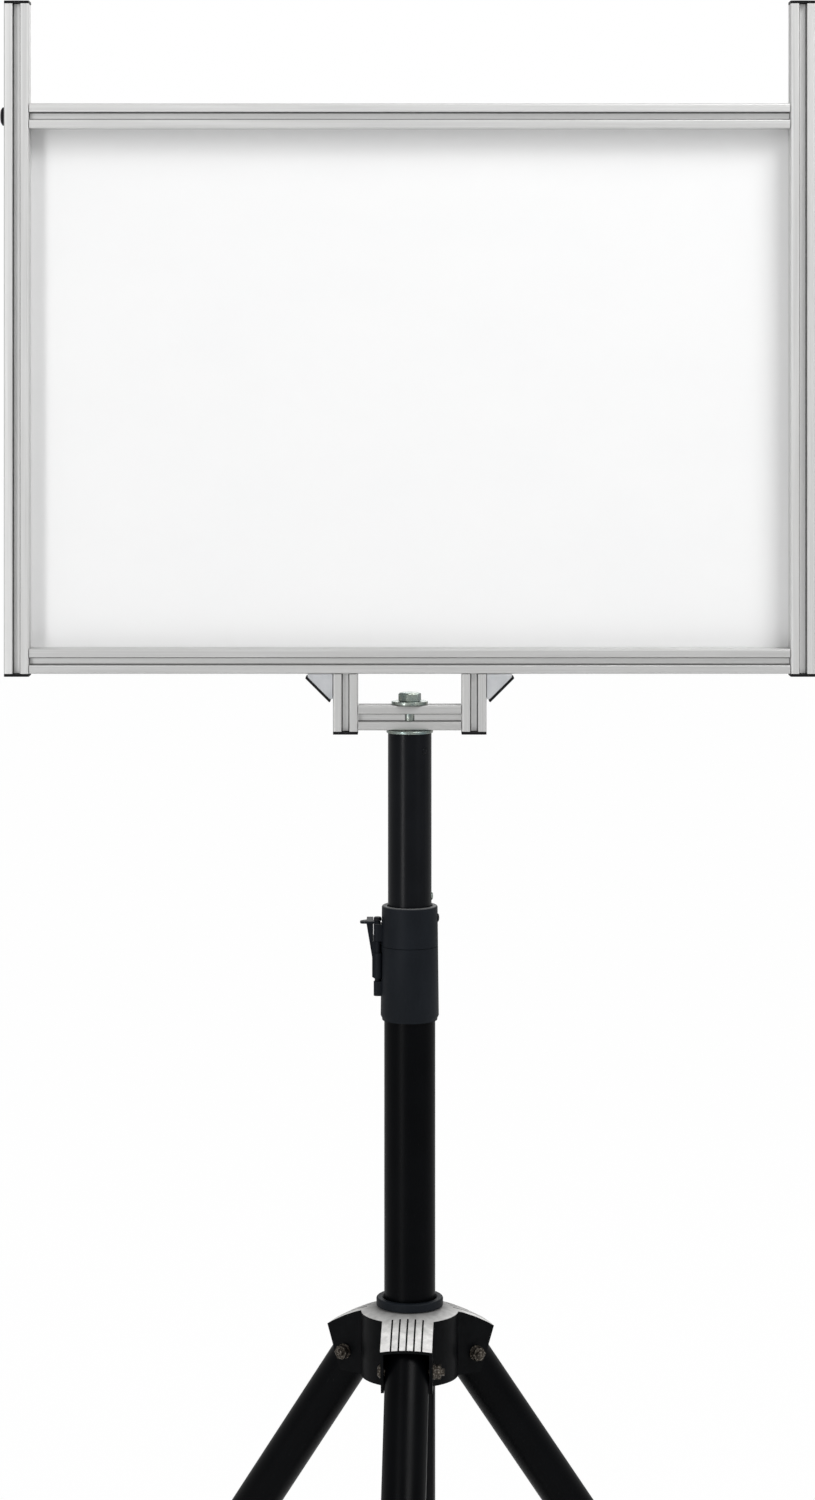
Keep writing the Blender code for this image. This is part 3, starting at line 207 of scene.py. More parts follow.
# %% [markdown]
# ## Anodised aluminium profile
#
# Slotted profile is pushed through a die, which leaves faint lines along its whole length, and then etched
# and anodised to an even satin grey. A noise stretched along the bar gives the lines, in colour, roughness
# and a relief of a few microns. A wide, soft patchiness keeps a long bar from looking computed. The bridge
# and the bottom rail are painted darker than the uprights, as painted shade low in the frame, and the floors
# of the slots are painted brighter than the outside, as painted light.

# %% Make the aluminium finishes
# The slots' floors are painted brighter by this factor, as painted light.
FLOOR_PAINTED_LIGHT = 1.35
# The bottom rail and the bridge are painted darker by these factors, as painted shade low in the frame.
LOWER_SHADE = 0.84
BRIDGE_SHADES = {"X": 0.74, "Z": 0.84}


def anodised(name, along, tone=1.0):
    """Anodised profile with its lines along an axis."""
    material, tree, shader = new_finish(name, Metallic=0.5, Roughness=0.4)
    stretch = [1.0, 1.0, 1.0]
    stretch["XYZ".index(along)] = 0.006
    lines = grain(tree, 1400, stretch, 4)
    patches = grain(tree, 14, (1, 1, 1), 3)
    # A tone above 1 paints light onto the slots' floors, and one below 1 paints shade onto the lower bars.
    low = tuple(c * tone for c in (0.6, 0.6, 0.595))
    high = tuple(c * tone for c in (0.69, 0.692, 0.69))
    warm = tuple(c * tone for c in (0.65, 0.645, 0.63))
    colour = blend_colours(tree, spread(tree, lines, 0, 1), low, high)
    colour = blend_colours(tree, spread(tree, patches, 0, 0.35), colour, warm)
    tree.links.new(colour, shader.inputs["Base Color"])
    tree.links.new(spread(tree, lines, 0.36, 0.48), shader.inputs["Roughness"])
    relief(tree, shader, lines, 0.012 * MM)
    return material


def slot_wall_painted_shade():
    """Painted shade on the undercut walls of the slots: a dark grey, painted lighter where a wall faces up.
    """
    material, tree, shader = new_finish("slot_wall_painted_shade", Metallic=0.5, Roughness=0.55)
    dull = grain(tree, 300, detail=3)
    shade = blend_colours(tree, spread(tree, dull, 0, 1), (0.13, 0.13, 0.128), (0.2, 0.2, 0.197))
    # Walls that face up are painted lighter here, as painted light from above.
    shade = blend_colours(tree, facing_up(tree), shade, (0.3, 0.3, 0.296))
    tree.links.new(shade, shader.inputs["Base Color"])
    return material


aluminium = {axis: anodised(f"anodised_along_{axis.lower()}", axis) for axis in "XZ"}
lit_floors = {axis: anodised(f"slot_floor_painted_light_{axis.lower()}", axis, FLOOR_PAINTED_LIGHT) for axis in "XZ"}
shaded_bridge = {}
for axis, tone in BRIDGE_SHADES.items():
    shaded_bridge[axis] = anodised(f"bridge_along_{axis.lower()}", axis, tone)
shaded_lower_rail = anodised("lower_rail_along_x", "X", LOWER_SHADE)
slot_shade_finish = slot_wall_painted_shade()
print("anodised finishes:", [m.name for m in aluminium.values()], slot_shade_finish.name)

# %% [markdown]
# ## Cast aluminium
#
# The corner brackets are die-cast. Their skin is finely pitted and a little bluer and duller than the rolled
# profile, with no direction in it.

# %% Make the casting finish
def cast_metal():
    material, tree, shader = new_finish("cast_aluminium", Metallic=0.5, Roughness=0.5)
    pits = grain(tree, 1500, detail=5)
    clouds = grain(tree, 90, detail=3)
    colour = blend_colours(tree, spread(tree, clouds, 0, 1), (0.44, 0.452, 0.47), (0.53, 0.54, 0.555))
    tree.links.new(colour, shader.inputs["Base Color"])
    tree.links.new(spread(tree, pits, 0.42, 0.6), shader.inputs["Roughness"])
    relief(tree, shader, pits, 0.04 * MM)
    return material


casting = cast_metal()
print("made", casting.name)

# %% [markdown]
# ## Zinc plate
#
# Bolts, washers and the flange are zinc plated and passivated, which leaves a silver that drifts between a
# cold blue and a weak yellow. Two noises choose between three tints, and a third gives the fine scratches
# that handling leaves.

# %% Make the zinc finish
def zinc_plate():
    material, tree, shader = new_finish("zinc_plate", Metallic=0.95, Roughness=0.3)
    drift = grain(tree, 110, detail=3)
    second = grain(tree, 60, (1, 1.4, 1), 2)
    scratches = grain(tree, 700, (1, 0.15, 1), 4)
    tint = blend_colours(tree, spread(tree, drift, 0, 1), (0.2, 0.27, 0.28), (0.46, 0.47, 0.41))
    greener = spread(tree, second, 0, 0.6, 0.45, 0.75)
    tint = blend_colours(tree, greener, tint, (0.31, 0.37, 0.32))
    tree.links.new(tint, shader.inputs["Base Color"])
    tree.links.new(spread(tree, scratches, 0.2, 0.42), shader.inputs["Roughness"])
    relief(tree, shader, scratches, 0.01 * MM)
    return material


zinc = zinc_plate()
print("made", zinc.name)


# %% Make the dark bolt finish
def oiled_steel():
    """Blackened bolts: a brown-black oxide that has worn bright on its corners and scratches."""
    material, tree, shader = new_finish("oiled_steel", Metallic=0.85, Roughness=0.34)
    scratches = grain(tree, 900, (1, 0.2, 1), 4)
    patches = grain(tree, 260, detail=3)
    worn = spread(tree, scratches, 0, 1, 0.5, 0.75)
    oxide = spread(tree, patches, 0, 1)
    colour = blend_colours(tree, oxide, (0.022, 0.018, 0.014), (0.06, 0.05, 0.04))
    colour = blend_colours(tree, worn, colour, (0.34, 0.31, 0.27))
    tree.links.new(colour, shader.inputs["Base Color"])
    tree.links.new(spread(tree, patches, 0.26, 0.44), shader.inputs["Roughness"])
    relief(tree, shader, scratches, 0.012 * MM)
    return material


dark_bolt = oiled_steel()
print("made", dark_bolt.name)

# %% [markdown]
# ## Black powder coat
#
# The mast, the tubes and the legs are steel with a satin black coat. Powder flows into a faint orange peel,
# so highlights break up slightly instead of running as clean lines. A little pale dust gathers on surfaces
# that face up. The mast is polished a touch by sliding through the clamp, so it gets a lower roughness.

# %% Make the powder coats
ORANGE_PEEL = 0.03 * MM


def powder_coat(name, colour, dull, gloss, shine):
    material, tree, shader = new_finish(name, Metallic=0.0, Roughness=dull)
    shader.inputs["Specular IOR Level"].default_value = shine
    skin = grain(tree, 900, detail=2)
    wide = grain(tree, 25, detail=3)
    lighter = tuple(c * 1.5 + 0.0004 for c in colour)
    tone = blend_colours(tree, spread(tree, wide, 0, 1), colour, lighter)
    dusty = facing_up(tree, 0.75, 1.0)
    dust = node(tree, "Math", {0: dusty, 1: spread(tree, wide, 0.02, 0.08)}, operation="MULTIPLY")
    tone = blend_colours(tree, dust.outputs["Value"], tone, (0.3, 0.29, 0.27))
    tree.links.new(tone, shader.inputs["Base Color"])
    tree.links.new(spread(tree, wide, gloss, dull), shader.inputs["Roughness"])
    relief(tree, shader, skin, ORANGE_PEEL)
    return material


mast_coat = powder_coat("mast_coat", (0.0014, 0.0019, 0.003), 0.34, 0.26, 0.14)
tube_coat = powder_coat("tube_coat", (0.0003, 0.0005, 0.0009), 0.38, 0.32, 0.06)
brace_coat = powder_coat("brace_coat", (0.005, 0.0055, 0.007), 0.48, 0.38, 0.12)
print("made", mast_coat.name, tube_coat.name, brace_coat.name)

# %% [markdown]
# ## Moulded plastic
#
# The clamp, the caps and the feet are moulded in black plastic with a spark-eroded grain. That grain is a
# dense, even pattern of tiny bumps, so the surface scatters light and looks charcoal where it faces a lamp.
# The collar's faces that face up are painted pale, as a painted sheen.

# %% Make the plastics
def moulded(name, colour, roughness, depth=0.05, rim=0.0):
    material, tree, shader = new_finish(name, Roughness=roughness)
    shader.inputs["Specular IOR Level"].default_value = 0.09
    bumps = grain(tree, 2200, detail=2, roughness=0.6)
    flow = grain(tree, 45, (1, 1, 0.4), 3)
    lighter = tuple(c * 1.35 + 0.001 for c in colour)
    tone = blend_colours(tree, spread(tree, flow, 0, 1), colour, lighter)
    # This mask paints the faces that face up pale, as a painted sheen.
    if rim:
        worn = node(tree, "Math", {0: facing_up(tree, 0.5, 0.95), 1: rim}, operation="MULTIPLY")
        tone = blend_colours(tree, worn.outputs["Value"], tone, (0.62, 0.62, 0.62))
    tree.links.new(tone, shader.inputs["Base Color"])
    tree.links.new(spread(tree, bumps, roughness - 0.06, roughness + 0.08), shader.inputs["Roughness"])
    relief(tree, shader, bumps, depth * MM)
    return material


clamp_plastic = moulded("clamp_plastic", (0.0056, 0.0072, 0.0098), 0.48)
# Its last number sets the painted sheen on the collar's top.
collar_plastic = moulded("collar_plastic", (0.0056, 0.0072, 0.0098), 0.48, 0.05, 0.2)
cap_plastic = moulded("cap_plastic", (0.007, 0.007, 0.0075), 0.5, 0.03)
foot_plastic = moulded("foot_plastic", (0.01, 0.0105, 0.012), 0.58)
print("made", clamp_plastic.name, collar_plastic.name, cap_plastic.name, foot_plastic.name)

# %% [markdown]
# ## The hub's casting
#
# The hub is a casting with black paint. Where the deck and the ribs on top face up, they are painted a dull
# silver, as a painted sheen, which is weaker near the mast. The mix follows how much a surface faces up and
# how far it lies from the mast, with a noisy edge between the black and the silver.

# %% Make the hub finish
SHEEN_STARTS = 26 * MM  # from the mast's axis
SHEEN_FULL = 52 * MM


def hub_casting():
    material, tree, shader = new_finish("hub_casting", Roughness=0.38)
    shader.inputs["Specular IOR Level"].default_value = 0.06
    pits = grain(tree, 1100, detail=4)
    clouds = grain(tree, 160, detail=4)
    up = facing_up(tree, 0.35, 0.8)
    place = node(tree, "TexCoord").outputs["Object"]
    level = node(tree, "VectorMath", {0: place, 1: (1, 1, 0)}, operation="MULTIPLY").outputs["Vector"]
    from_mast = {0: level, 1: (MAST.x, MAST.y, 0)}
    distance = node(tree, "VectorMath", from_mast, operation="DISTANCE").outputs["Value"]
    broad_pattern = spread(tree, distance, 0.25, 1.0, SHEEN_STARTS, SHEEN_FULL)
    uneven = {0: up, 1: spread(tree, clouds, 0.7, 1.0)}
    sheen_share = node(tree, "Math", uneven, operation="MULTIPLY").outputs["Value"]
    sheen_share = node(tree, "Math", {0: sheen_share, 1: broad_pattern}, operation="MULTIPLY").outputs["Value"]
    mottle = spread(tree, clouds, 0, 1)
    paint = blend_colours(tree, mottle, (0.0015, 0.0018, 0.0022), (0.003, 0.0034, 0.004))
    # This silver is painted sheen on the faces that face up, weaker near the mast.
    painted_sheen = blend_colours(tree, spread(tree, pits, 0, 1), (0.88, 0.87, 0.855), (0.97, 0.965, 0.95))
    tree.links.new(blend_colours(tree, sheen_share, paint, painted_sheen), shader.inputs["Base Color"])
    tree.links.new(spread(tree, sheen_share, 0, 0.3, 0, 1), shader.inputs["Metallic"])
    tree.links.new(spread(tree, pits, 0.3, 0.46), shader.inputs["Roughness"])
    relief(tree, shader, pits, 0.05 * MM)
    return material


hub_finish = hub_casting()
groove_paint = powder_coat("groove_paint", (0.004, 0.0042, 0.005), 0.5, 0.4, 0.08)
print("made", hub_finish.name, groove_paint.name)

# %% [markdown]
# ## Writing surface
#
# A dry-erase panel is a white lacquer under a hard clear coat. In use it keeps faint grey ghosts of old
# strokes and dull areas where it was rubbed most. Both are so weak that the panel still reads as clean white.

# %% Make the panel finish
def writing_surface():
    material, tree, shader = new_finish("writing_surface", Roughness=0.2)
    shader.inputs["Coat Weight"].default_value = 0.4
    shader.inputs["Coat Roughness"].default_value = 0.2
    ghosts = grain(tree, 9, (1, 1, 2.2), 3, 0.5)
    broad_pattern = grain(tree, 5, (1, 1, 1), 2)
    colour = blend_colours(tree, ghosts, (0.83, 0.83, 0.828), (0.805, 0.807, 0.81))
    tree.links.new(colour, shader.inputs["Base Color"])
    tree.links.new(spread(tree, broad_pattern, 0.18, 0.26, 0, 1), shader.inputs["Roughness"])
    return material


def backing_sheet():
    """The panel's back: thin galvanised sheet with a faint spangle."""
    material, tree, shader = new_finish("backing_sheet", Metallic=0.4, Roughness=0.42)
    place = node(tree, "TexCoord").outputs["Object"]
    spangle = node(tree, "TexVoronoi", {"Vector": place, "Scale": 160})
    shade = node(tree, "SeparateColor", {"Color": spangle.outputs["Color"]}).outputs["Red"]
    colour = blend_colours(tree, shade, (0.46, 0.47, 0.48), (0.53, 0.54, 0.55))
    tree.links.new(colour, shader.inputs["Base Color"])
    tree.links.new(spread(tree, shade, 0.36, 0.48, 0, 1), shader.inputs["Roughness"])
    return material


panel_white = writing_surface()
panel_back = backing_sheet()
print("made", panel_white.name, panel_back.name)

# %% [markdown]
# ## Rubber
#
# The tyres and the pad in the clamp are black rubber: nearly matt, with grey scuffs where they roll or rub.

# %% Make the rubber
def tyre_rubber():
    material, tree, shader = new_finish("tyre_rubber", Roughness=0.75)
    fine = grain(tree, 1300, detail=4)
    scuffs = grain(tree, 220, (1, 1, 0.3), 4)
    worn = spread(tree, scuffs, 0, 0.5, 0.5, 0.8)
    colour = blend_colours(tree, worn, (0.009, 0.009, 0.0095), (0.04, 0.039, 0.037))
    tree.links.new(colour, shader.inputs["Base Color"])
    tree.links.new(spread(tree, fine, 0.66, 0.85), shader.inputs["Roughness"])
    relief(tree, shader, fine, 0.06 * MM)
    return material


rubber = tyre_rubber()
print("made", rubber.name)

# %% [markdown]
# ## Which solid gets which finish
#
# The profiles come in two directions, and the lines must run along each bar. The rest is a plain list, and
# any solid that isn't on it is a small black plastic cap, plug or cover.

# %% Assign the finishes
LEGS = ("front", "left", "right")
FINISH_OF = {
    "upright_left": aluminium["Z"],
    "upright_right": aluminium["Z"],
    "bridge_post_left": shaded_bridge["Z"],
    "bridge_post_right": shaded_bridge["Z"],
    "top_rail": aluminium["X"],
    "bottom_rail": shaded_lower_rail,
    "bridge_bar": shaded_bridge["X"],
    "gusset_left": casting,
    "gusset_right": casting,
    "mast_plug": casting,
    "head_bolt": zinc,
    "head_washer": zinc,
    "mast_flange": zinc,
    "lock_button": zinc,
    "mast_tube": mast_coat,
    "outer_tube": tube_coat,
    "rail_screw_left": brace_coat,
    "rail_screw_right": brace_coat,
    "lever_pin": brace_coat,
    "hub": hub_finish,
    "whiteboard_panel": panel_white,
    "brake_shoe": rubber,
    "clamp_cap": collar_plastic,
    "clamp_sleeve": clamp_plastic,
    "clamp_lever": clamp_plastic,
    "brace_slider": foot_plastic,
    "hub_bush": clamp_plastic,
}
for leg in LEGS:
    FINISH_OF[f"leg_tube_{leg}"] = tube_coat
    FINISH_OF[f"leg_bolt_{leg}"] = dark_bolt
    FINISH_OF[f"brace_{leg}"] = brace_coat
    FINISH_OF[f"caster_wheel_{leg}"] = rubber
    FINISH_OF[f"foot_{leg}"] = foot_plastic
    FINISH_OF[f"caster_fork_{leg}"] = foot_plastic
    FINISH_OF[f"caster_brake_{leg}"] = foot_plastic
for name, solid in frame["nodes"].items():
    solid.data.materials.clear()
    solid.data.materials.append(FINISH_OF.get(name, cap_plastic))
print("finished solids:", len(frame["nodes"]))

# %% [markdown]
# ## Finer copies of the solids
#
# The solids have the right shapes, but their edges are knife-sharp and their round faces are flat strips. A
# real part has a small radius on every edge, and that radius is what catches the light. So each such solid
# is copied, its loose triangles are merged, its flat faces are made whole again, and its sharp edges are
# bevelled by a fraction of a millimetre. Near a small bore a bevel can push a face over itself. The copy is
# then made again with a smaller radius, or with none. Round faces are shaded smooth, and so is each bevel,
# but not across the line where a bevel meets the face beside it, so flat faces stay flat.

# %% Define the copier
MERGE = 0.002 * MM
FLAT = radians(0.6)  # faces that turn less than this become one
SHARP = radians(34)  # edges that turn more than this are rounded
SMOOTH = radians(32)  # edges that turn less than this are shaded smooth
BEVEL_SMOOTH = radians(50)  # the same inside a bevel
TINY_TURN = 0.04 * MM * MM  # twice the area of the smallest triangle that can be seen
TRIES = ((1.0, True), (0.5, True), (0.25, True), (0, True), (0, False))  # radius, whole faces


def keep(shape, name, finishes, body, rounded=()):
    """Turns a finished bmesh into a piece that rides on a body."""
    rounded = set(rounded)
    for edge in shape.edges:
        bevels = sum(face in rounded for face in edge.link_faces)
        turn = edge.calc_face_angle(0) if len(edge.link_faces) == 2 else 0
        edge.smooth = bevels != 1 and turn <= (BEVEL_SMOOTH if bevels == 2 else SMOOTH)
    for face in shape.faces:
        face.smooth = True
    mesh = bpy.data.meshes.new(name)
    shape.to_mesh(mesh)
    shape.free()
    for finish in finishes:
        mesh.materials.append(finish)
    piece = bpy.data.objects.new(name, mesh)
    bpy.context.scene.collection.objects.link(piece)
    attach(piece, body)
    return piece


def sharp_edges(shape):
    pairs = [edge for edge in shape.edges if len(edge.link_faces) == 2]
    return [edge for edge in pairs if edge.calc_face_angle(0) > SHARP]


def folded(shape):
    """True if a face turns back over itself when it is cut into triangles."""
    shape.normal_update()
    for corners in shape.calc_loop_triangles():
        first, second, third = (corner.vert.co for corner in corners)
        turn = (second - first).cross(third - first)
        if turn.length > TINY_TURN and turn.dot(corners[0].face.normal) < 0:
            return True
    return False


def rounded_copy(solid, radius, whole_faces):
    """A copy of a solid's mesh with its sharp edges rounded, and the new faces along them."""
    shape = bmesh.new()
    shape.from_mesh(solid.data)
    bmesh.ops.remove_doubles(shape, verts=shape.verts, dist=MERGE)
    if whole_faces:
        bmesh.ops.dissolve_limit(shape, angle_limit=FLAT, verts=shape.verts, edges=shape.edges)
    if not radius:
        return shape, []
    made = bmesh.ops.bevel(
        shape,
        geom=sharp_edges(shape),
        offset=radius,
        offset_type="OFFSET",
        segments=2,
        profile=0.5,
        affect="EDGES",
        clamp_overlap=True,
        material=-1,
    )
    return shape, made["faces"]


def softened(name, radius, mark=None, extra=()):
    """A copy of a solid with rounded edges, shown in its place. A marker gives faces extra finishes."""
    solid = frame["nodes"][name]
    for share, whole_faces in TRIES:
        shape, rounded = rounded_copy(solid, radius * share, whole_faces)
        if not folded(shape):
            break
        if (share, whole_faces) != TRIES[-1]:
            shape.free()
    if share < 1:
        print(name, "is rounded by", share, "of its radius")
    if mark:
        mark(shape)
    finishes = [FINISH_OF.get(name, cap_plastic), *extra]
    piece = keep(shape, f"{name}_fine", finishes, solid["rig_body"], rounded=rounded)
    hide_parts(name)
    return piece


print("copier ready")

# %% Soften the moulded and cast pieces
SOFT_EDGES = {  # radii in mm
    "clamp_cap": 0.5,
    "clamp_sleeve": 0.5,
    "clamp_lever": 0.35,
    "gusset_left": 0.5,
    "gusset_right": 0.5,
    "gusset_cover_left": 0.4,
    "gusset_cover_right": 0.4,
    "hub_bush": 0.3,
    "head_bolt": 0.25,
    "head_washer": 0.25,
    "mast_flange": 0.35,
    "brace_slider": 0.8,
    "tube_end_plug": 0.6,
    "lever_pin": 0.25,
    "lock_button": 0.2,
    "mast_tube": 0.3,
    "outer_tube": 0.2,
    "rail_screw_left": 0.3,
    "rail_screw_right": 0.3,
}
for leg in LEGS:
    SOFT_EDGES[f"leg_tube_{leg}"] = 0.2
    SOFT_EDGES[f"leg_bolt_{leg}"] = 0.2
    SOFT_EDGES[f"brace_{leg}"] = 0.4
    SOFT_EDGES[f"foot_{leg}"] = 0.8
    SOFT_EDGES[f"caster_fork_{leg}"] = 0.5
    SOFT_EDGES[f"caster_brake_{leg}"] = 0.4
for name, radius in SOFT_EDGES.items():
    softened(name, radius * MM)
print("softened:", len(SOFT_EDGES))

# %% [markdown]
# ## The profiles, the hub and the panel
#
# In these, some faces need a second finish. Inside a profile, the undercut walls of the slots are painted
# dark, as painted shade, while the slots' floors are painted bright, as painted light. On the hub, the
# grooves of the deck keep the plain black paint, without the painted sheen of the deck. The panel's back is
# bare sheet.

# %% Finish the profiles' slots
PROFILES = {
    "upright_left": "z",
    "upright_right": "z",
    "bridge_post_left": "z",
    "bridge_post_right": "z",
    "top_rail": "x",
    "bottom_rail": "x",
    "bridge_bar": "x",
}
PROFILE_EDGE = 0.18 * MM
SLOT_LIP = 1.8 * MM
SLOT_FLOOR = 3.9 * MM  # from the bar's axis
CLOSE = 0.05 * MM
SQUARE_ON = 0.98
WALL, FLOOR = 1, 2  # where these finishes stand in the piece's list


def slot_marker(name, along):
    """Gives a bar's slots their finishes, from each face's distance to the bar's axis."""
    centre = middle(name)
    u, v = [axis for axis in "xyz" if axis != along]

    def mark(shape):
        for face in shape.faces:
            place = face.calc_center_median() - centre
            far = max(abs(getattr(place, u)), abs(getattr(place, v)))
            on_floor = abs(far - SLOT_FLOOR) < CLOSE and max(map(abs, face.normal)) > SQUARE_ON
            # Walls get the painted shade and floors the painted light.
            if far < PROFILE / 2 - SLOT_LIP + CLOSE:
                face.material_index = FLOOR if on_floor else WALL

    return mark


for name, along in PROFILES.items():
    inside = (slot_shade_finish, lit_floors[along.upper()])
    softened(name, PROFILE_EDGE, mark=slot_marker(name, along), extra=inside)
print("profiles:", len(PROFILES))

# %% Paint the hub's grooves
GROOVE_PITCH = 6.1 * MM
GROOVE_HALF = 0.8 * MM
GROOVE_START = 32 * MM  # from the mast's axis
HUB_EDGE = 0.6 * MM
UNDERSIDE = -0.3  # a normal's height below which a face looks down


def mark_grooves(shape):
    """Paints the faces that lie wholly inside one of an arm's five grooves."""
    for leg in LEGS:
        pivot = Vector(joints[f"leg_{leg}_fold"]["pos_m"])
        outward = Vector((pivot.x - MAST.x, pivot.y - MAST.y, 0)).normalized()
        across = Vector((-outward.y, outward.x, 0))
        for face in shape.faces:
            places = [corner.co - Vector((MAST.x, MAST.y, pivot.z)) for corner in face.verts]
            sides = [place.dot(across) for place in places]
            nearest = max(-2, min(2, round(sides[0] / GROOVE_PITCH))) * GROOVE_PITCH
            narrow = all(abs(side - nearest) < GROOVE_HALF for side in sides)
            on_arm = all(place.dot(outward) > GROOVE_START and place.z > 0 for place in places)
            if narrow and on_arm and face.normal.z > UNDERSIDE:
                face.material_index = 1


softened("hub", HUB_EDGE, mark=mark_grooves, extra=(groove_paint,))
print("hub dressed")

# %% Back the panel with its sheet
PANEL_EDGE = 0.3 * MM
BACKWARD = 0.5  # a normal's share towards the back


def mark_back(shape):
    for face in shape.faces:
        if face.normal.y > BACKWARD:
            face.material_index = 1


softened("whiteboard_panel", PANEL_EDGE, mark=mark_back, extra=(panel_back,))
print("panel backed")

# %% [markdown]
# ## Small pieces
#
# A blackened rivet head fills the hole that holds the mast's plug, and button-head screws hold the panel
# against the back of the frame. A low screw sits in the collar's right side. They are too small to matter to
# the solid model, but their absence would show. The wheels are turned again from a finer section, with a
# tread, a rim and a web.

# %% Add the rivet and the panel screws
def lathe(profile, steps=32, closed=False):
    """Turns (radius, height) points about Z. They end on the axis, or are a closed loop beside it."""
    shape = bmesh.new()
    rings = []
    for radius, height in profile:
        turns = [2 * pi * i / steps for i in range(steps)] if radius else [0]
        points = [shape.verts.new((radius * cos(turn), radius * sin(turn), height)) for turn in turns]
        rings.append(points if radius else points * steps)
    following = rings[1:] + (rings[:1] if closed else [])
    for near, far in zip(rings, following):
        for i in range(steps):
            corners = (near[i - 1], near[i], far[i], far[i - 1])
            shape.faces.new(dict.fromkeys(corners))  # two corners on the axis are one
    bmesh.ops.recalc_face_normals(shape, faces=shape.faces)
    return shape


def pointed(shape, at, direction):
    """Moves a turned shape so that its Z points along a direction."""
    turn = Vector(direction).to_track_quat("Z", "Y").to_matrix().to_4x4()
    bmesh.ops.transform(shape, matrix=Matrix.Translation(at) @ turn, verts=shape.verts)
    return shape


def rounded_head(radius, height, steps=5):
    """A low dome from its crown down to its rim."""
    angles = [pi / 2 * i / steps for i in range(steps + 1)]
    return [(radius * sin(a), height * cos(a)) for a in angles]


def dome(radius, height, depth):
    """A rounded head whose shank goes below its rim by a depth."""
    return [(0, height), *rounded_head(radius, height)[1:], (radius, -depth), (0, -depth)]


RIVET_TURN = radians(-46)
RIVET_DROP = 13.5 * MM
RIVET_SET = 0.25 * MM  # into the tube's wall
# A button head with its socket, as radii and heights in mm.
SCREW_POINTS = [(0, 0.9), (1.5, 0.9), (1.5, 2.5), (2.4, 2.5), (4.0, 1.7), (4.75, 0.4), (4.75, 0), (0, 0)]

out = Vector((cos(RIVET_TURN), sin(RIVET_TURN), 0))
head = dome(2.5 * MM, 0.5 * MM, 2 * MM)
at = Vector((MAST.x, MAST.y, MAST_TOP - RIVET_DROP)) + out * (MAST_R - RIVET_SET)
mast_body = frame["nodes"]["mast_tube"]["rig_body"]
keep(pointed(lathe(head), at, out), "plug_rivet", [mast_coat], mast_body)

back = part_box("whiteboard_panel")[1].y
left = middle("upright_left").x
across = [left, MAST.x, 2 * MAST.x - left]
rails = [middle("top_rail").z, middle("bottom_rail").z]
places = [(x, z) for x in across for z in rails] + [(x, sum(rails) / 2) for x in (across[0], across[2])]
head = [(r * MM, z * MM) for r, z in SCREW_POINTS]
for i, (x, z) in enumerate(places):
    shape = pointed(lathe(head), (x, back, z), (0, 1, 0))
    keep(shape, f"panel_screw_{i + 1}", [zinc], mast_body)
print("added the rivet and", len(places), "panel screws")

# %% Turn the wheels
wheel_core = moulded("wheel_core", (0.035, 0.036, 0.038), 0.46, 0.03)
# Half of a wheel's section, as radii and distances from its middle plane in mm: hub, web, rim and tread.
WHEEL_SIDE = [(3.5, 9.95), (7.4, 9.95), (7.9, 9.5), (8.3, 6.6), (16.4, 6.6), (17.2, 8.7)]
WHEEL_SIDE += [(17.6, 8.95), (21.5, 8.95), (23.4, 8.1), (24.5, 6.2), (24.8, 4.2), (24.8, 3.4)]
WHEEL_SIDE += [(24.3, 3.1), (24.3, 2.5), (24.9, 2.2)]
WHEEL_STEPS = 96
RUBBER_STARTS = 17.4 * MM  # from the axle
side = [(r * MM, z * MM) for r, z in WHEEL_SIDE]
section = side + [(r, -z) for r, z in reversed(side)]
for leg in LEGS:
    name = f"caster_wheel_{leg}"
    solid = frame["nodes"][name]
    shape = lathe(section, WHEEL_STEPS, closed=True)
    for face in shape.faces:
        if face.calc_center_median().xy.length < RUBBER_STARTS:
            face.material_index = 1
    pointed(shape, middle(name), joints[f"wheel_{leg}_roll"]["axis"])
    wheel = keep(shape, f"{name}_turned", [rubber, wheel_core], solid["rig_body"])
    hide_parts(name)
print("wheels turned")

# %% Add the collar's screw
SCREW_DROP = 10 * MM  # below the collar's top
SCREW_SET = 0.2 * MM

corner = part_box("clamp_cap")[1]
shape = lathe(dome(3.4 * MM, 1.2 * MM, 1.2 * MM))
pointed(shape, (corner.x - SCREW_SET, MAST.y, corner.z - SCREW_DROP), (1, 0, 0))
keep(shape, "collar_screw", [brace_coat], frame["nodes"]["clamp_cap"]["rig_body"])
print("added the collar's screw")

# %% [markdown]
# ## The floor and the light
#
# A pale floor runs far back under a white surround. The camera sees plain white there, while the light that
# the surround gives stays at a level that doesn't wash out the aluminium. Soft lamps stand left, right, above
# and behind, as in a small studio. The floor lies a little under the casters, because the feet reach lower
# than that when the legs fold and the hub stays where it is.

# %% Build the surround
FLOOR_DROP = 115 * MM
FLOOR_SIZE = 40
SURROUND_LIGHT = 0.52
FLOOR_GLOW = 0.985  # of what the camera sees of the floor


def white_surround():
    world = bpy.data.worlds.new("surround")
    bpy.context.scene.world = world
    world.use_nodes = True
    tree = world.node_tree
    tree.nodes.clear()
    seen = node(tree, "LightPath").outputs["Is Camera Ray"]
    level = node(tree, "MapRange", {"Value": seen, "To Min": SURROUND_LIGHT, "To Max": 1.0})
    light = node(tree, "Background", {"Color": (1, 1, 1, 1), "Strength": level.outputs["Result"]})
    out = node(tree, "OutputWorld")
    tree.links.new(light.outputs["Background"], out.inputs["Surface"])
    return world


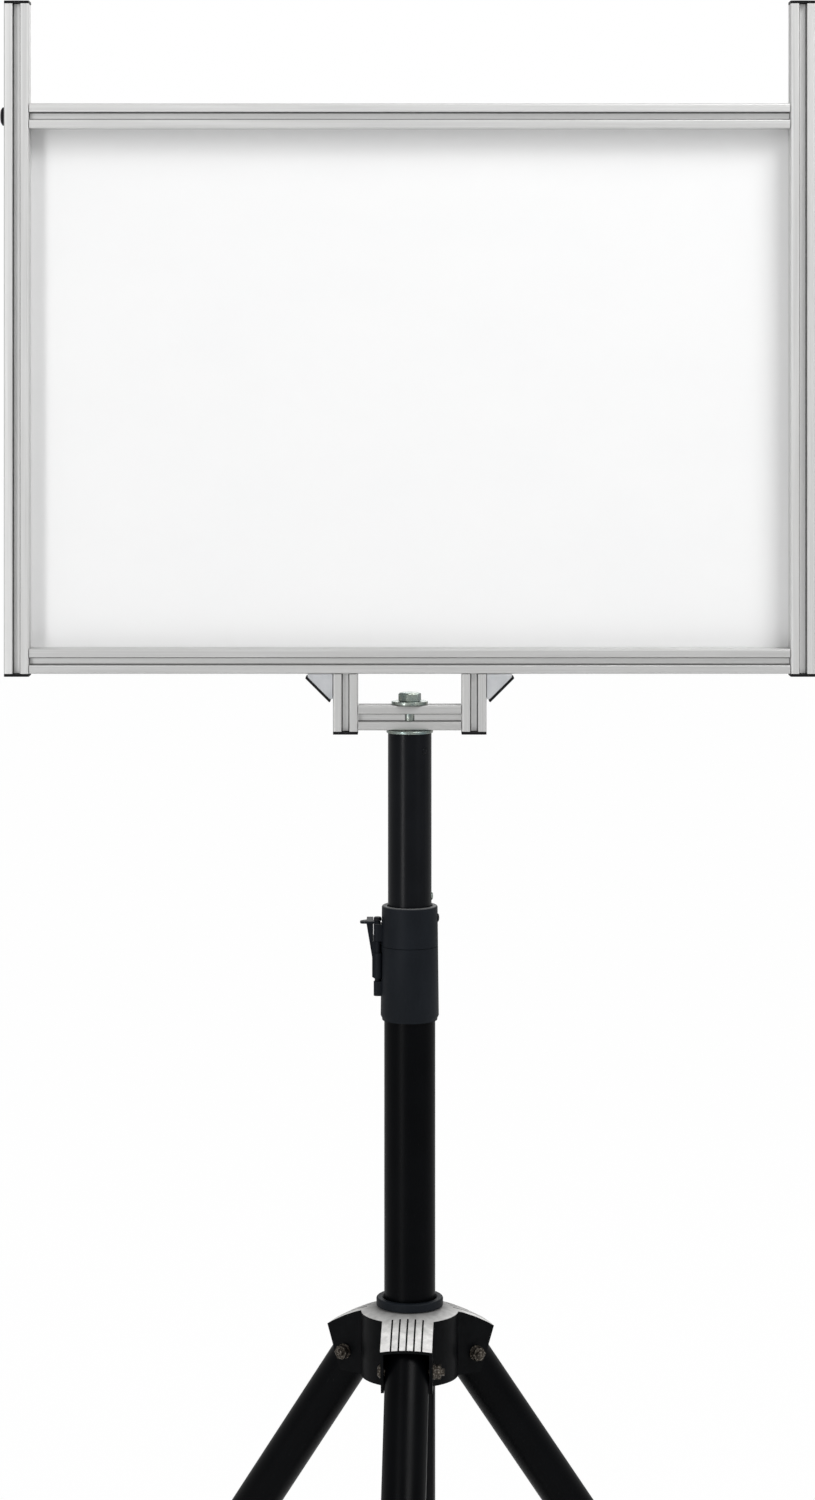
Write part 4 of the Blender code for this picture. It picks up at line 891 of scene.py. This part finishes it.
def pale_floor():
    shape = bmesh.new()
    bmesh.ops.create_grid(shape, x_segments=1, y_segments=1, size=FLOOR_SIZE)
    bmesh.ops.translate(shape, verts=shape.verts, vec=(0, 0, -FLOOR_DROP))
    mesh = bpy.data.meshes.new("floor")
    shape.to_mesh(mesh)
    shape.free()
    material, tree, shader = new_finish("pale_floor", Roughness=0.9)
    shader.inputs["Base Color"].default_value = (0.86, 0.86, 0.86, 1)
    shader.inputs["Specular IOR Level"].default_value = 0.1
    seen = node(tree, "LightPath").outputs["Is Camera Ray"]
    share = node(tree, "MapRange", {"Value": seen, "To Min": 0.0, "To Max": FLOOR_GLOW})
    glow = node(tree, "Emission", {"Color": (1, 1, 1, 1), "Strength": 1.0})
    parts = {0: share.outputs["Result"], 1: shader.outputs[0], 2: glow.outputs[0]}
    both = node(tree, "MixShader", parts)
    tree.links.new(both.outputs[0], tree.nodes["Material Output"].inputs["Surface"])
    mesh.materials.append(material)
    floor = bpy.data.objects.new("floor", mesh)
    bpy.context.scene.collection.objects.link(floor)
    return floor


bpy.context.scene.view_settings.view_transform = "Standard"
white_surround()
pale_floor()
print("surround and floor ready")

# %% Hang the lamps
def softbox(name, place, aim, size, power):
    lamp = bpy.data.lights.new(name, "AREA")
    lamp.shape = "RECTANGLE"
    lamp.size, lamp.size_y = size
    lamp.energy = power
    holder = bpy.data.objects.new(name, lamp)
    bpy.context.scene.collection.objects.link(holder)
    holder.location = place
    holder.rotation_euler = (Vector(aim) - Vector(place)).to_track_quat("-Z", "Y").to_euler()
    return holder


softbox("key", (-2.0, -2.6, 2.7), (0, 0, 1.2), (0.9, 1.5), 27)
softbox("strip", (-1.75, -2.2, 0.65), (0, 0, 1.0), (0.3, 1.1), 11)
softbox("fill", (2.8, -2.6, 1.9), (0, 0, 0.9), (1.4, 2.2), 8)
softbox("top", (1.35, -1.4, 3.2), (0, -0.1, 0.6), (1.4, 1.0), 46)
softbox("back", (0.6, 3.4, 2.6), (0, 0, 0.9), (2.0, 2.0), 22)
